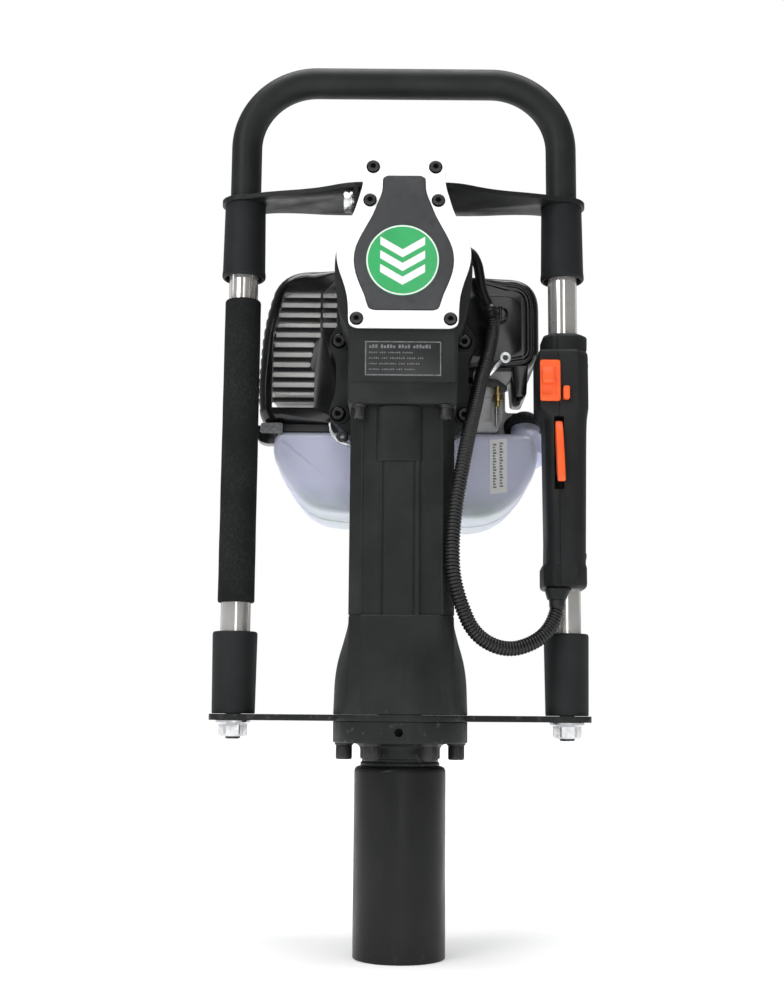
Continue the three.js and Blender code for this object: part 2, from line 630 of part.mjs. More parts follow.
function fuelTank() {
  const wall = 3;
  const bend = { axis: new THREE.Vector3(1, 0, 0), angle: (-filler.tilt * Math.PI) / 180 };
  const tilted = (radius, low, high, count) => {
    const geometry = new THREE.CylinderGeometry(radius, radius, high - low, count).rotateX(Math.PI / 2);
    geometry.translate(0, 0, (low + high) / 2);
    geometry.applyMatrix4(new THREE.Matrix4().makeRotationAxis(bend.axis, bend.angle));
    return solid(geometry.translate(filler.x, filler.y, filler.z));
  };
  const saddle = (radius, front) => bar('y', radius, front, tank.back + 1, 0, engineAxis, 28);
  const outer = cut(slabY(tankOutline(0), tank.front, tank.back, 3), saddle(78, 148));
  const inner = cut(slabY(tankOutline(wall), tank.front + wall, tank.back - wall, 2), saddle(81, 145));
  const spout = tilted(filler.radius, -8, 20, 20);
  const mouth = tilted(filler.radius - 3, -9, 22, 20);
  return cut(join(outer, spout), inner, mouth);
}

// The cap and the starter's grip are built upright at their own place and turned.
function fuelCap() {
  const angle = filler.tilt;
  const cap = turnedSolid([
    [0, 20.4], [filler.radius + GAP, 20.4], [filler.radius + GAP, 13], [filler.radius + 4, 13],
    [filler.radius + 4, 26], [filler.radius + 2, 28], [0, 28],
  ]);
  return cap.rotate([-angle, 0, 0]).translate([filler.x, filler.y, filler.z]);
}

function starterHousing() {
  const outer = bar('y', starter.radius, starter.front, starter.back, 0, engineAxis, 32);
  const room = bar('y', starter.radius - 3, starter.front - 1, starter.back - 3, 0, engineAxis, 28);
  const ropeHole = bar('z', 3.5, 520, 560, 30, 196, 10);
  return cut(outer, room, ropeHole);
}

function fanHousing() {
  const outer = bar('y', 76, 150, starter.front - GAP, 0, engineAxis, 32);
  const room = bar('y', 70, 153, starter.front + 1, 0, engineAxis, 28);
  const hole = bar('y', 12, 149, 154, 0, engineAxis, 20);
  return cut(outer, room, hole);
}

function crankshaft() {
  const shaft = bar('y', 8, 54, 160, 0, engineAxis, 20);
  const flywheel = bar('y', 64, 156, 166, 0, engineAxis, 32);
  const clutchBoss = bar('y', 24, 41, 50, 0, engineAxis, 20);
  const front = bar('y', 8, 49, 55, 0, engineAxis, 20);
  return join(shaft, flywheel, clutchBoss, front);
}

function starterGrip() {
  const stem = bar('z', 3, 547, 556, 30, 196, 10);
  const handle = box(14, 46, 190, 202, 555, 572);
  return join(stem, handle);
}

add('clutch_housing', clutchHousing(), 'black');
add('crankcase', crankcaseBody(), 'cast');
add('engine_cylinder', engineCylinder(), 'cast');
add('cylinder_cover', cylinderCover(), 'glossBlack');
add('muffler', muffler(), 'zinc');
add('muffler_cover', mufflerCover(), 'glossBlack');
add('air_cleaner_cover', airCleanerCover(), 'glossBlack');
add('carburetor', carburetor(), 'cast');
add('fuel_tank', fuelTank(), 'tank');
add('fuel_cap', fuelCap(), 'blackPlastic');
add('fan_housing', fanHousing(), 'cast');
add('starter_housing', starterHousing(), 'glossBlack');
add('starter_grip', starterGrip(), 'glossBlack');
add('crankshaft', crankshaft(), 'steel');

// ---------------------------------------------------------------- gear train and hammer
// A spur gear in the X-Z plane; phase is the angle of one tooth, measured from +X towards +Z.
function spurGear(count, phase, x, z, y0, y1) {
  const pitch = (gearModule * count) / 2;
  const step = (2 * Math.PI) / count;
  const outlinePoints = [];
  for (let i = 0; i < count; i += 1) {
    const middle = phase + i * step;
    const flank = [
      [pitch - 1.2 * gearModule, -0.33], [pitch + 0.8 * gearModule, -0.1], [pitch + 0.8 * gearModule, 0.1],
      [pitch - 1.2 * gearModule, 0.33],
    ];
    for (const [radius, share] of flank) {
      const angle = middle + share * step;
      outlinePoints.push([x + radius * Math.cos(angle), z + radius * Math.sin(angle)]);
    }
  }
  return slabY(outline(outlinePoints), y0, y1);
}

// The phase that puts the second gear's gap where the first gear's tooth crosses the line of centres.
function meshPhase(first, second, line) {
  const ratio = first.count / second.count;
  return line + Math.PI - (first.phase - line) * ratio - Math.PI / second.count;
}

const wheelFace = [14.5, 20.5];
const pinionFace = [6, 13];
const lineToLay = Math.atan2(layAxis.z - crankAxis, layAxis.x);
const crankTeeth = { count: teeth.crank, phase: lineToLay };
const layPinionTeeth = { count: teeth.layPinion };
layPinionTeeth.phase = meshPhase(crankTeeth, layPinionTeeth, lineToLay);
const lineToDrum = Math.atan2(engineAxis - layAxis.z, -layAxis.x);
const layWheelTeeth = { count: teeth.layWheel, phase: lineToDrum };
const drumTeeth = { count: teeth.drum };
drumTeeth.phase = meshPhase(layWheelTeeth, drumTeeth, lineToDrum);

function crankGear() {
  const wheel = spurGear(crankTeeth.count, crankTeeth.phase, 0, crankAxis, ...pinionFace);
  const shaft = bar('y', 10, 12.8, 27, 0, crankAxis, 20);
  const pin = bar('y', 6, 4.6, 7, 0, crankAxis - crankThrow, 16);
  return join(wheel, shaft, pin);
}

function layGear() {
  const pinion = spurGear(layPinionTeeth.count, layPinionTeeth.phase, layAxis.x, layAxis.z, ...pinionFace);
  const wheel = spurGear(layWheelTeeth.count, layWheelTeeth.phase, layAxis.x, layAxis.z, ...wheelFace);
  return join(pinion, wheel, bar('y', 5, 12, 28, layAxis.x, layAxis.z, 16));
}

function clutchDrum() {
  const pinion = spurGear(drumTeeth.count, drumTeeth.phase, 0, engineAxis, ...wheelFace);
  const shaft = bar('y', 8, 20, 36, 0, engineAxis, 20);
  const cup = bar('y', 30, 35, 50, 0, engineAxis, 28);
  const room = bar('y', 27, 39, 51, 0, engineAxis, 28);
  return join(pinion, shaft, cut(cup, room));
}

function drivePiston() {
  const body = bar('z', barrel.bore - 0.7, 350, 405);
  const slot = box(-10, 10, -5.2, 5.2, 376, 406);
  return join(cut(body, slot), bar('y', 4, -6, 6, 0, wristPin, 16));
}

function connectingRod() {
  const big = crankAxis - crankThrow;
  const web = box(-5, 5, -4, 4.3, wristPin, big);
  const ends = join(bar('y', 8, -4, 4.3, 0, wristPin, 20), bar('y', 12, -4, 4.3, 0, big, 24));
  return cut(join(web, ends), bar('y', 4.5, -5, 5, 0, wristPin, 16), bar('y', 6.6, -5, 5, 0, big, 20));
}

add('crank_gear', crankGear(), 'steel');
add('lay_gear', layGear(), 'steel');
add('clutch_drum', clutchDrum(), 'steel');
add('drive_piston', drivePiston(), 'steel');
add('connecting_rod', connectingRod(), 'steel');
add('ram', bar('z', barrel.bore - 0.7, 204, 296), 'steel');

export default object;
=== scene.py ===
"""A petrol post driver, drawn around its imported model.

Lengths are in millimetres and heights count from the lower rim of the post sleeve; at() turns them into
the frame's metres, whose origin is the anvil's face. X points to the throttle grip, -Y to the front.
"""
import math

import bmesh
import bpy
from mathutils import Matrix, Vector, noise


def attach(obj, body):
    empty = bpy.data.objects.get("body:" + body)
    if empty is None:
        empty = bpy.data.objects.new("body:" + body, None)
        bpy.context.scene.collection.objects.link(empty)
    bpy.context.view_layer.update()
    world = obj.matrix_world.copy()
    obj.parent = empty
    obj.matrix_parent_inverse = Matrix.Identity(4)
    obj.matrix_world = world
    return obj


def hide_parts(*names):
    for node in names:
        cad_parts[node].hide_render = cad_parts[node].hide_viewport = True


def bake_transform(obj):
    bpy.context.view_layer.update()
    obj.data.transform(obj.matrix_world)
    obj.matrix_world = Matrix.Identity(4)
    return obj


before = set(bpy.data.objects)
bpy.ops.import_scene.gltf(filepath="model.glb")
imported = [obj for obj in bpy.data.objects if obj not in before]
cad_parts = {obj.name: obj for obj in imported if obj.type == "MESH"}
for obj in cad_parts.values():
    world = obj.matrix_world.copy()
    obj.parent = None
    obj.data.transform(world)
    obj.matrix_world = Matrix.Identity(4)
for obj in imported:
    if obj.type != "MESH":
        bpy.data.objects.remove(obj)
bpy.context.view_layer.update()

RIM = 130.0
TUBE_X, TUBE_Y = 136.7, 20.0
CRANK, ENGINE = 548.0, 473.0
SHAFT = (0, ENGINE)
SIDES = ((-1, "left"), (1, "right"))


def at(x, y, z):
    return Vector((x, y, z - RIM)) / 1000


# ---------------------------------------------------------------- camera, floor and light
def srgb(r, g, b):
    """Linear colour of a screen colour given as 0 to 255."""
    return tuple(((c / 255 + 0.055) / 1.055) ** 2.4 if c > 10 else c / 255 / 12.92
                 for c in (r, g, b)) + (1.0,)


def make_camera():
    data = bpy.data.cameras.new("camera")
    data.lens, data.sensor_width = 50, 36
    data.clip_start, data.clip_end = 0.05, 60
    data.sensor_fit = "VERTICAL"
    data.sensor_height = 36
    camera = bpy.data.objects.new("camera", data)
    bpy.context.scene.collection.objects.link(camera)
    tilt = Matrix.Rotation(math.radians(90 + 8.8), 4, "X")
    roll = Matrix.Rotation(math.radians(0.45), 4, "Z")
    camera.matrix_world = Matrix.Translation((-0.008, -1.131, 0.058)) @ tilt @ roll
    bpy.context.scene.camera = camera


def make_world():
    """The camera sees plain white; reflections see a dim studio, brighter above and behind the object."""
    world = bpy.data.worlds.new("studio")
    bpy.context.scene.world = world
    world.use_nodes = True
    tree = world.node_tree
    tree.nodes.clear()
    out = tree.nodes.new("ShaderNodeOutputWorld")
    path = tree.nodes.new("ShaderNodeLightPath")
    mix = tree.nodes.new("ShaderNodeMixShader")
    plain = tree.nodes.new("ShaderNodeBackground")
    plain.inputs["Color"].default_value = (1, 1, 1, 1)
    plain.inputs["Strength"].default_value = 1.0
    dim = tree.nodes.new("ShaderNodeBackground")
    dim.inputs["Strength"].default_value = 1.0
    coord = tree.nodes.new("ShaderNodeTexCoord")
    facing = tree.nodes.new("ShaderNodeVectorMath")
    facing.operation = "DOT_PRODUCT"
    facing.inputs[1].default_value = (-0.42, 0.86, 0.28)
    depth = tree.nodes.new("ShaderNodeMapRange")
    depth.inputs["From Min"].default_value = -0.5
    ramp = tree.nodes.new("ShaderNodeValToRGB")
    ramp.color_ramp.elements[0].color = (0.075, 0.073, 0.07, 1)
    ramp.color_ramp.elements[1].color = (0.27, 0.27, 0.275, 1)
    tree.links.new(coord.outputs["Generated"], facing.inputs[0])
    tree.links.new(facing.outputs["Value"], depth.inputs["Value"])
    tree.links.new(depth.outputs[0], ramp.inputs[0])
    tree.links.new(ramp.outputs[0], dim.inputs["Color"])
    tree.links.new(path.outputs["Is Camera Ray"], mix.inputs[0])
    tree.links.new(dim.outputs[0], mix.inputs[1])
    tree.links.new(plain.outputs[0], mix.inputs[2])
    tree.links.new(mix.outputs[0], out.inputs[0])


def soft_light(name, place, target, width, height, power, colour=(1, 1, 1)):
    data = bpy.data.lights.new(name, "AREA")
    data.shape = "RECTANGLE"
    data.size, data.size_y = width, height
    data.energy = power
    data.color = colour
    light = bpy.data.objects.new(name, data)
    bpy.context.scene.collection.objects.link(light)
    aim = Vector(target) - Vector(place)
    light.matrix_world = Matrix.Translation(place) @ aim.to_track_quat("-Z", "Y").to_matrix().to_4x4()


def make_stage():
    bpy.context.scene.view_settings.view_transform = "Standard"
    mesh = bpy.data.meshes.new("floor")
    far = 30
    corners = [(-far, -far, -RIM / 1000), (far, -far, -RIM / 1000), (far, far, -RIM / 1000),
               (-far, far, -RIM / 1000)]
    mesh.from_pydata(corners, [], [(0, 1, 2, 3)])
    floor = bpy.data.objects.new("floor", mesh)
    bpy.context.scene.collection.objects.link(floor)
    paper = bpy.data.materials.new("paper")
    paper.use_nodes = True
    shader = paper.node_tree.nodes["Principled BSDF"]
    shader.inputs["Base Color"].default_value = (0.92, 0.92, 0.92, 1)
    shader.inputs["Roughness"].default_value = 0.9
    shader.inputs["Specular IOR Level"].default_value = 0.1
    shader.inputs["Emission Color"].default_value = (1, 1, 1, 1)
    shader.inputs["Emission Strength"].default_value = 0.2
    mesh.materials.append(paper)
    middle = (0, 0, 0.25)
    soft_light("key", (-1.5, -1.9, 1.5), middle, 1.1, 1.6, 19.5)
    soft_light("strip", (0.28, -2.6, 0.75), middle, 0.5, 2.2, 7.5)
    soft_light("rim", (1.9, 1.6, 1.2), middle, 0.9, 1.8, 2.5)
    soft_light("left_rim", (-1.9, 1.5, 0.9), middle, 0.9, 1.8, 1.5)
    data = bpy.data.lights.new("sky", "SUN")
    data.energy, data.angle = 3.1, math.radians(60)
    bpy.context.scene.collection.objects.link(bpy.data.objects.new("sky", data))


# ---------------------------------------------------------------- materials
class Look:
    """One procedural material; its fields are in the object's metres, so they stay on the piece."""

    def __init__(self, name, slot, colour, roughness, metallic=0.0):
        self.slot = slot
        self.material = bpy.data.materials.new(name)
        self.material.use_nodes = True
        self.tree = self.material.node_tree
        self.shader = self.tree.nodes["Principled BSDF"]
        self.shader.inputs["Base Color"].default_value = colour
        self.shader.inputs["Roughness"].default_value = roughness
        self.shader.inputs["Metallic"].default_value = metallic
        self.coord = self.tree.nodes.new("ShaderNodeTexCoord")
        self.colour, self.roughness = colour, roughness
        self.colour_out = None
        self.normal_out = None

    def link(self, a, b):
        self.tree.links.new(a, b)

    def place(self, stretch=(1, 1, 1)):
        node = self.tree.nodes.new("ShaderNodeMapping")
        node.inputs["Scale"].default_value = stretch
        self.link(self.coord.outputs["Object"], node.inputs["Vector"])
        return node.outputs[0]

    def noise(self, scale, detail=3.0, stretch=(1, 1, 1), rough=0.5):
        node = self.tree.nodes.new("ShaderNodeTexNoise")
        node.inputs["Scale"].default_value = scale
        node.inputs["Detail"].default_value = detail
        node.inputs["Roughness"].default_value = rough
        self.link(self.place(stretch), node.inputs["Vector"])
        return node.outputs["Fac"]

    def cells(self, scale):
        node = self.tree.nodes.new("ShaderNodeTexVoronoi")
        node.inputs["Scale"].default_value = scale
        self.link(self.place(), node.inputs["Vector"])
        return node.outputs["Distance"]

    def span(self, value, low, high, to_low=0.0, to_high=1.0):
        node = self.tree.nodes.new("ShaderNodeMapRange")
        node.inputs["From Min"].default_value = low
        node.inputs["From Max"].default_value = high
        node.inputs["To Min"].default_value = to_low
        node.inputs["To Max"].default_value = to_high
        self.link(value, node.inputs["Value"])
        return node.outputs[0]

    def times(self, a, b):
        node = self.tree.nodes.new("ShaderNodeMath")
        node.operation = "MULTIPLY"
        self.link(a, node.inputs[0])
        self.link(b, node.inputs[1])
        return node.outputs[0]

    def tint(self, mask, colour):
        """Mixes a colour over what is there, by a mask."""
        node = self.tree.nodes.new("ShaderNodeMix")
        node.data_type = "RGBA"
        self.link(mask, node.inputs["Factor"])
        if self.colour_out is None:
            node.inputs["A"].default_value = self.colour
        else:
            self.link(self.colour_out, node.inputs["A"])
        node.inputs["B"].default_value = colour
        self.colour_out = node.outputs["Result"]
        self.link(self.colour_out, self.shader.inputs["Base Color"])
        return self

    def patches(self, scale, colour, low=0.4, high=0.7, stretch=(1, 1, 1), amount=1.0):
        return self.tint(self.span(self.noise(scale, 4.0, stretch), low, high, 0.0, amount), colour)

    def uneven(self, scale, spread, stretch=(1, 1, 1)):
        """Roughness that wanders about its value."""
        value = self.span(self.noise(scale, 4.0, stretch), 0.3, 0.7, self.roughness - spread,
                          self.roughness + spread)
        self.link(value, self.shader.inputs["Roughness"])
        return self

    def bump(self, height, strength, distance):
        node = self.tree.nodes.new("ShaderNodeBump")
        node.inputs["Strength"].default_value = strength
        node.inputs["Distance"].default_value = distance
        self.link(height, node.inputs["Height"])
        if self.normal_out is not None:
            self.link(self.normal_out, node.inputs["Normal"])
        self.normal_out = node.outputs[0]
        self.link(self.normal_out, self.shader.inputs["Normal"])
        return self

    def height_mask(self, low, high):
        """1 at one height and 0 at the other, in millimetres above the rim."""
        split = self.tree.nodes.new("ShaderNodeSeparateXYZ")
        self.link(self.coord.outputs["Object"], split.inputs[0])
        return self.span(split.outputs["Z"], (low - RIM) / 1000, (high - RIM) / 1000)

    def rubbed_edges(self, colour, width, amount):
        """Wear on the edges: the normal of a rounded edge differs from the face's own."""
        soft = self.tree.nodes.new("ShaderNodeBevel")
        soft.samples = 4
        soft.inputs["Radius"].default_value = width
        geometry = self.tree.nodes.new("ShaderNodeNewGeometry")
        dot = self.tree.nodes.new("ShaderNodeVectorMath")
        dot.operation = "DOT_PRODUCT"
        self.link(soft.outputs[0], dot.inputs[0])
        self.link(geometry.outputs["Normal"], dot.inputs[1])
        edge = self.span(dot.outputs["Value"], 0.985, 0.86)
        broken = self.span(self.noise(260, 5.0), 0.44, 0.6, 0.0, amount)
        return self.tint(self.times(edge, broken), colour)

    def set(self, **sockets):
        for name, value in sockets.items():
            self.shader.inputs[name.replace("_", " ")].default_value = value
        return self


def make_looks():
    looks = {}

    def add(key, name, slot, colour, roughness, metallic=0.0, **sockets):
        looks[key] = Look(name, slot, colour, roughness, metallic).set(**sockets)
        return looks[key]

    paint = add("paint", "satin_paint", "black_paint", srgb(33, 35, 35), 0.46, Specular_IOR_Level=0.22)
    paint.patches(34, srgb(40, 42, 42), 0.42, 0.66).patches(9, srgb(29, 30, 31), 0.45, 0.7)
    paint.rubbed_edges(srgb(74, 76, 76), 0.0006, 0.4)
    paint.uneven(60, 0.06).bump(paint.noise(900, 3.0), 0.30, 0.0002)
    paint.bump(paint.noise(150, 2.0), 0.16, 0.0006)

    cast = add("cast_paint", "cast_paint", "black_paint", srgb(31, 33, 33), 0.48, Specular_IOR_Level=0.2)
    cast.patches(26, srgb(38, 40, 40), 0.4, 0.66)
    streaks = cast.noise(22, 5.0, (3, 3, 0.4))
    cast.tint(cast.span(streaks, 0.56, 0.74, 0.0, 0.3), srgb(50, 51, 49))
    cast.rubbed_edges(srgb(70, 72, 72), 0.0006, 0.3)
    grime = cast.span(cast.noise(150, 5.0), 0.6, 0.7, 0.0, 0.5)
    cast.tint(cast.times(cast.height_mask(194, 186), grime), srgb(84, 84, 80))
    cast.uneven(70, 0.07).bump(cast.noise(700, 4.0), 0.45, 0.00035)
    cast.bump(cast.noise(90, 2.0), 0.16, 0.0008)

    steel = add("black_steel", "black_steel", "black_steel", srgb(26, 27, 28), 0.42, Specular_IOR_Level=0.22)
    steel.patches(40, srgb(34, 35, 36), 0.42, 0.66).rubbed_edges(srgb(84, 84, 82), 0.0006, 0.4)
    steel.uneven(60, 0.08).bump(steel.noise(800, 3.0), 0.22, 0.0002)

    sleeve = add("sleeve", "sleeve_steel", "sleeve_steel", srgb(30, 31, 31), 0.36, 0.1,
                 Specular_IOR_Level=0.22)
    sleeve.patches(30, srgb(38, 38, 37), 0.42, 0.7, (1, 1, 0.5))
    scratch = sleeve.span(sleeve.noise(60, 8.0, (6, 6, 0.35), 0.7), 0.64, 0.72, 0.0, 0.3)
    sleeve.tint(scratch, srgb(66, 66, 64))
    wear = sleeve.span(sleeve.noise(170, 7.0, (1, 1, 0.6)), 0.6, 0.7, 0.0, 0.4)
    sleeve.tint(sleeve.times(sleeve.height_mask(26, 2), wear), srgb(76, 75, 72))
    sleeve.rubbed_edges(srgb(96, 94, 90), 0.0006, 0.4)
    sleeve.uneven(48, 0.1, (1, 1, 0.4)).bump(sleeve.noise(420, 5.0, (1, 1, 0.25)), 0.1, 0.00025)

    # Painted light: the white coat glows a little (emission 0.12), which brightens the cover beyond what the
    # lamps give.
    white = add("white", "glowing_white_coat", "white_cover", srgb(255, 255, 255), 0.28, Coat_Weight=0.25,
                Coat_Roughness=0.12, Emission_Color=(1, 1, 1, 1), Emission_Strength=0.12)
    white.patches(30, srgb(252, 252, 254), 0.4, 0.7).uneven(40, 0.04)
    white.bump(white.noise(160, 2.0), 0.05, 0.0004)

    inlay = add("inlay", "inlay_satin", "inlay_grey", srgb(63, 64, 66), 0.5, Specular_IOR_Level=0.35)
    inlay.patches(26, srgb(71, 72, 74), 0.42, 0.68).patches(160, srgb(59, 60, 62), 0.5, 0.7)
    inlay.uneven(50, 0.06).bump(inlay.noise(1200, 2.0), 0.25, 0.00015)

    plastic = add("plastic", "moulded_plastic", "black_plastic", srgb(30, 31, 32), 0.5,
                  Specular_IOR_Level=0.2)
    plastic.patches(30, srgb(36, 37, 38), 0.42, 0.66).uneven(45, 0.05)
    plastic.bump(plastic.cells(1500), 0.22, 0.00012).bump(plastic.noise(240, 3.0), 0.08, 0.0003)
    plastic.rubbed_edges(srgb(60, 62, 63), 0.0006, 0.5)

    rubber = add("rubber", "sleeve_rubber", "black_plastic", srgb(30, 32, 33), 0.58, Specular_IOR_Level=0.22)
    rubber.patches(26, srgb(36, 38, 39), 0.42, 0.66).uneven(40, 0.05)
    rubber.bump(rubber.noise(1100, 3.0), 0.2, 0.00015)

    hose = add("hose", "loom_plastic", "black_plastic", srgb(13, 14, 15), 0.4, Specular_IOR_Level=0.5)
    hose.patches(60, srgb(19, 20, 21), 0.42, 0.66).uneven(60, 0.06).bump(hose.noise(700, 2.0), 0.12, 0.0002)

    gloss = add("gloss", "gloss_plastic", "gloss_plastic_black", srgb(18, 19, 20), 0.2,
                Specular_IOR_Level=0.4, Coat_Weight=0.2, Coat_Roughness=0.08)
    gloss.patches(30, srgb(25, 26, 27), 0.42, 0.68).uneven(30, 0.06).bump(gloss.noise(120, 2.0), 0.05, 0.0005)

    foam = add("foam", "foam_rubber", "foam_rubber", srgb(35, 37, 37), 0.92, Specular_IOR_Level=0.08)
    foam.patches(420, srgb(44, 46, 46), 0.45, 0.62).patches(30, srgb(31, 33, 33), 0.42, 0.66)
    foam.bump(foam.cells(900), 0.55, 0.0004).bump(foam.noise(1500, 3.0), 0.5, 0.0003)

    orange = add("orange", "orange_plastic", "orange_plastic", srgb(255, 102, 40), 0.38,
                 Subsurface_Weight=0.12, Subsurface_Scale=0.002)
    orange.patches(60, srgb(250, 92, 32), 0.42, 0.68).uneven(50, 0.05)
    orange.bump(orange.noise(900, 2.0), 0.12, 0.00012)

    chrome = add("chrome", "chrome", "chrome_tube", (0.95, 0.93, 0.9, 1), 0.17, 0.75)
    chrome.uneven(26, 0.035, (1, 1, 0.4)).bump(chrome.noise(500, 4.0, (1, 1, 0.15)), 0.03, 0.0002)
    chrome.patches(60, (0.88, 0.85, 0.8, 1), 0.5, 0.75)

    zinc = add("zinc", "zinc_plate", "zinc_fastener", (0.68, 0.69, 0.7, 1), 0.3, 1.0)
    zinc.patches(240, (0.55, 0.56, 0.58, 1), 0.42, 0.68).uneven(120, 0.08)
    zinc.bump(zinc.noise(900, 3.0), 0.12, 0.00015)

    oxide = add("oxide", "black_oxide", "black_oxide", srgb(50, 50, 51), 0.36, 0.4)
    oxide.patches(200, srgb(62, 61, 60), 0.45, 0.68).uneven(120, 0.08)
    oxide.rubbed_edges(srgb(110, 108, 104), 0.0004, 0.6)

    bare = add("bare", "bare_steel", "bare_steel", (0.36, 0.36, 0.38, 1), 0.32, 1.0)
    bare.patches(90, (0.27, 0.27, 0.28, 1), 0.42, 0.68).uneven(90, 0.08)
    bare.bump(bare.noise(500, 4.0, (1, 1, 6)), 0.1, 0.0002)

    alu = add("alu", "die_casting", "cast_aluminium", (0.47, 0.475, 0.48, 1), 0.55, 0.75)
    alu.patches(140, (0.38, 0.385, 0.39, 1), 0.42, 0.68).patches(14, (0.53, 0.53, 0.53, 1), 0.42, 0.7)
    alu.uneven(90, 0.07).bump(alu.noise(900, 4.0), 0.5, 0.0003)

    # Painted light: the sheet glows a little (emission 0.1), which brightens the can where it sits in the
    # guard's shade.
    muffler = add("muffler", "glowing_aluminised_sheet", "muffler_steel", (0.95, 0.95, 0.94, 1), 0.4,
                  Emission_Color=(1, 0.99, 0.96, 1), Emission_Strength=0.1)
    muffler.patches(120, (0.76, 0.75, 0.73, 1), 0.45, 0.7).patches(18, (0.94, 0.93, 0.9, 1), 0.42, 0.7)
    muffler.uneven(90, 0.08).bump(muffler.noise(400, 4.0), 0.2, 0.0003)

    tank = add("tank", "milky_tank", "tank_plastic", srgb(205, 209, 240), 0.36, Subsurface_Weight=0.5,
               Subsurface_Scale=0.012, Subsurface_Radius=(1.0, 1.0, 1.1))
    # Painted shade: the tank turns greyer over its lowest part, from 386 mm down to 362 mm.
    tank.tint(tank.height_mask(386, 362), srgb(170, 182, 186))
    tank.patches(16, srgb(212, 215, 243), 0.4, 0.7, amount=0.6).uneven(24, 0.05)
    tank.bump(tank.noise(260, 3.0), 0.08, 0.0004)

    green = add("green", "badge_green", "inlay_grey", srgb(58, 176, 104), 0.35)
    green.patches(60, srgb(54, 168, 98), 0.42, 0.68).uneven(40, 0.05)
    green.bump(green.noise(300, 2.0), 0.05, 0.0002)

    pale = add("pale", "pale_casting", "cast_aluminium", srgb(198, 199, 200), 0.6, 0.1)
    pale.patches(140, srgb(184, 185, 186), 0.42, 0.68).uneven(90, 0.06)
    pale.bump(pale.noise(900, 4.0), 0.4, 0.0003)

    ink = add("print", "printed_white", "white_cover", srgb(244, 246, 245), 0.4)
    ink.patches(200, srgb(236, 239, 238), 0.45, 0.7).uneven(60, 0.05)
    label = add("label", "label_black", "black_plastic", srgb(32, 33, 34), 0.42)
    label.patches(90, srgb(39, 40, 41), 0.45, 0.7).uneven(60, 0.05)
    faded = add("faded", "label_grey", "white_cover", srgb(128, 130, 132), 0.5)
    faded.patches(400, srgb(96, 98, 100), 0.42, 0.66).uneven(60, 0.05)
    sticker = add("sticker", "sticker_pale", "tank_plastic", srgb(234, 236, 236), 0.5)
    sticker.patches(60, srgb(226, 228, 230), 0.42, 0.7).uneven(60, 0.05)
    # Painted shadow: a near-black that stands for the shade round screw heads and down in their sockets.
    painted_shadow = add("painted_shadow", "painted_shadow_black", "black_oxide", srgb(7, 7, 8), 0.7, Specular_IOR_Level=0.05)
    painted_shadow.patches(200, srgb(10, 10, 11), 0.42, 0.68)
    brass = add("brass", "brass", "bare_steel", (0.56, 0.44, 0.2, 1), 0.32, 1.0)
    brass.patches(300, (0.42, 0.33, 0.15, 1), 0.42, 0.68).uneven(200, 0.07)
    return looks


# ---------------------------------------------------------------- mesh helpers
def mesh_piece(name, points, faces):
    mesh = bpy.data.meshes.new(name)
    mesh.from_pydata([at(*p) for p in points], [], faces)
    work = bmesh.new()
    work.from_mesh(mesh)
    bmesh.ops.remove_doubles(work, verts=work.verts, dist=1e-6)
    bmesh.ops.recalc_face_normals(work, faces=work.faces)
    work.to_mesh(mesh)
    work.free()
    piece = bpy.data.objects.new(name, mesh)
    bpy.context.scene.collection.objects.link(piece)
    return piece


def loft(name, rings, loop=False):
    """Skin through rings of equally many points; loop joins the last ring to the first."""
    count = len(rings[0])
    faces = []
    for i in range(len(rings) if loop else len(rings) - 1):
        a, b = i * count, (i + 1) % len(rings) * count
        faces += [(a + j, a + (j + 1) % count, b + (j + 1) % count, b + j) for j in range(count)]
    if not loop:
        faces.append(tuple(range(count)))
        faces.append(tuple((len(rings) - 1) * count + j for j in range(count)))
    return mesh_piece(name, [p for ring in rings for p in ring], faces)


def along(axis, a, b, h):
    """A point at height h on an axis, with a and b across it."""
    return {"z": (a, b, h), "y": (a, h, b), "x": (h, a, b)}[axis]


def circle(centre, radius, height, axis="z", sides=72):
    """Points round an axis; radius is a number or a function of the angle."""
    points = []
    for j in range(sides):
        t = 2 * math.pi * j / sides
        r = radius(t) if callable(radius) else radius
        points.append(along(axis, centre[0] + r * math.cos(t), centre[1] + r * math.sin(t), height))
    return points


def lathe(name, profile, centre=(0, 0), axis="z", sides=96, hollow=False, steps=6):
    """A turned piece from corners (radius, height, rounding); a hollow one closes its profile on itself."""
    profile = rounded(profile, steps)
    return loft(name, [circle(centre, radius, height, axis, sides) for radius, height in profile],
                loop=hollow)


def prism(name, outline, axis, low, high, steps=6):
    """An outline of corners (a, b, rounding), drawn out along an axis."""
    return loft(name, [[along(axis, a, b, h) for a, b in rounded(outline, steps)] for h in (low, high)])


def block(name, x0, x1, y0, y1, z0, z1):
    return prism(name, [(x0, y0), (x1, y0), (x1, y1), (x0, y1)], "z", z0, z1)


def rod(name, axis, radius, low, high, centre=(0, 0), sides=48, edge=0.0):
    wall = [(radius, low), (radius, high)]
    if edge:
        wall = [(radius - edge, low), (radius, low + edge), (radius, high - edge), (radius - edge, high)]
    return lathe(name, [(0, low)] + wall + [(0, high)], centre, axis, sides)


def rounded(points, steps=6):
    """Points (a, b, radius): each corner with a radius becomes a curve of some steps."""
    result = []
    for i, point in enumerate(points):
        radius = point[2] if len(point) > 2 else 0
        if not radius:
            result.append((point[0], point[1]))
            continue
        corner = Vector(point[:2])
        ends = []
        for other in (points[i - 1], points[(i + 1) % len(points)]):
            edge = Vector(other[:2]) - corner
            ends.append(corner + edge * min(radius / edge.length, 0.48))
        for s in range(steps + 1):
            t = s / steps
            p = ends[0] * (1 - t) ** 2 + corner * 2 * t * (1 - t) + ends[1] * t * t
            result.append((p.x, p.y))
    return result


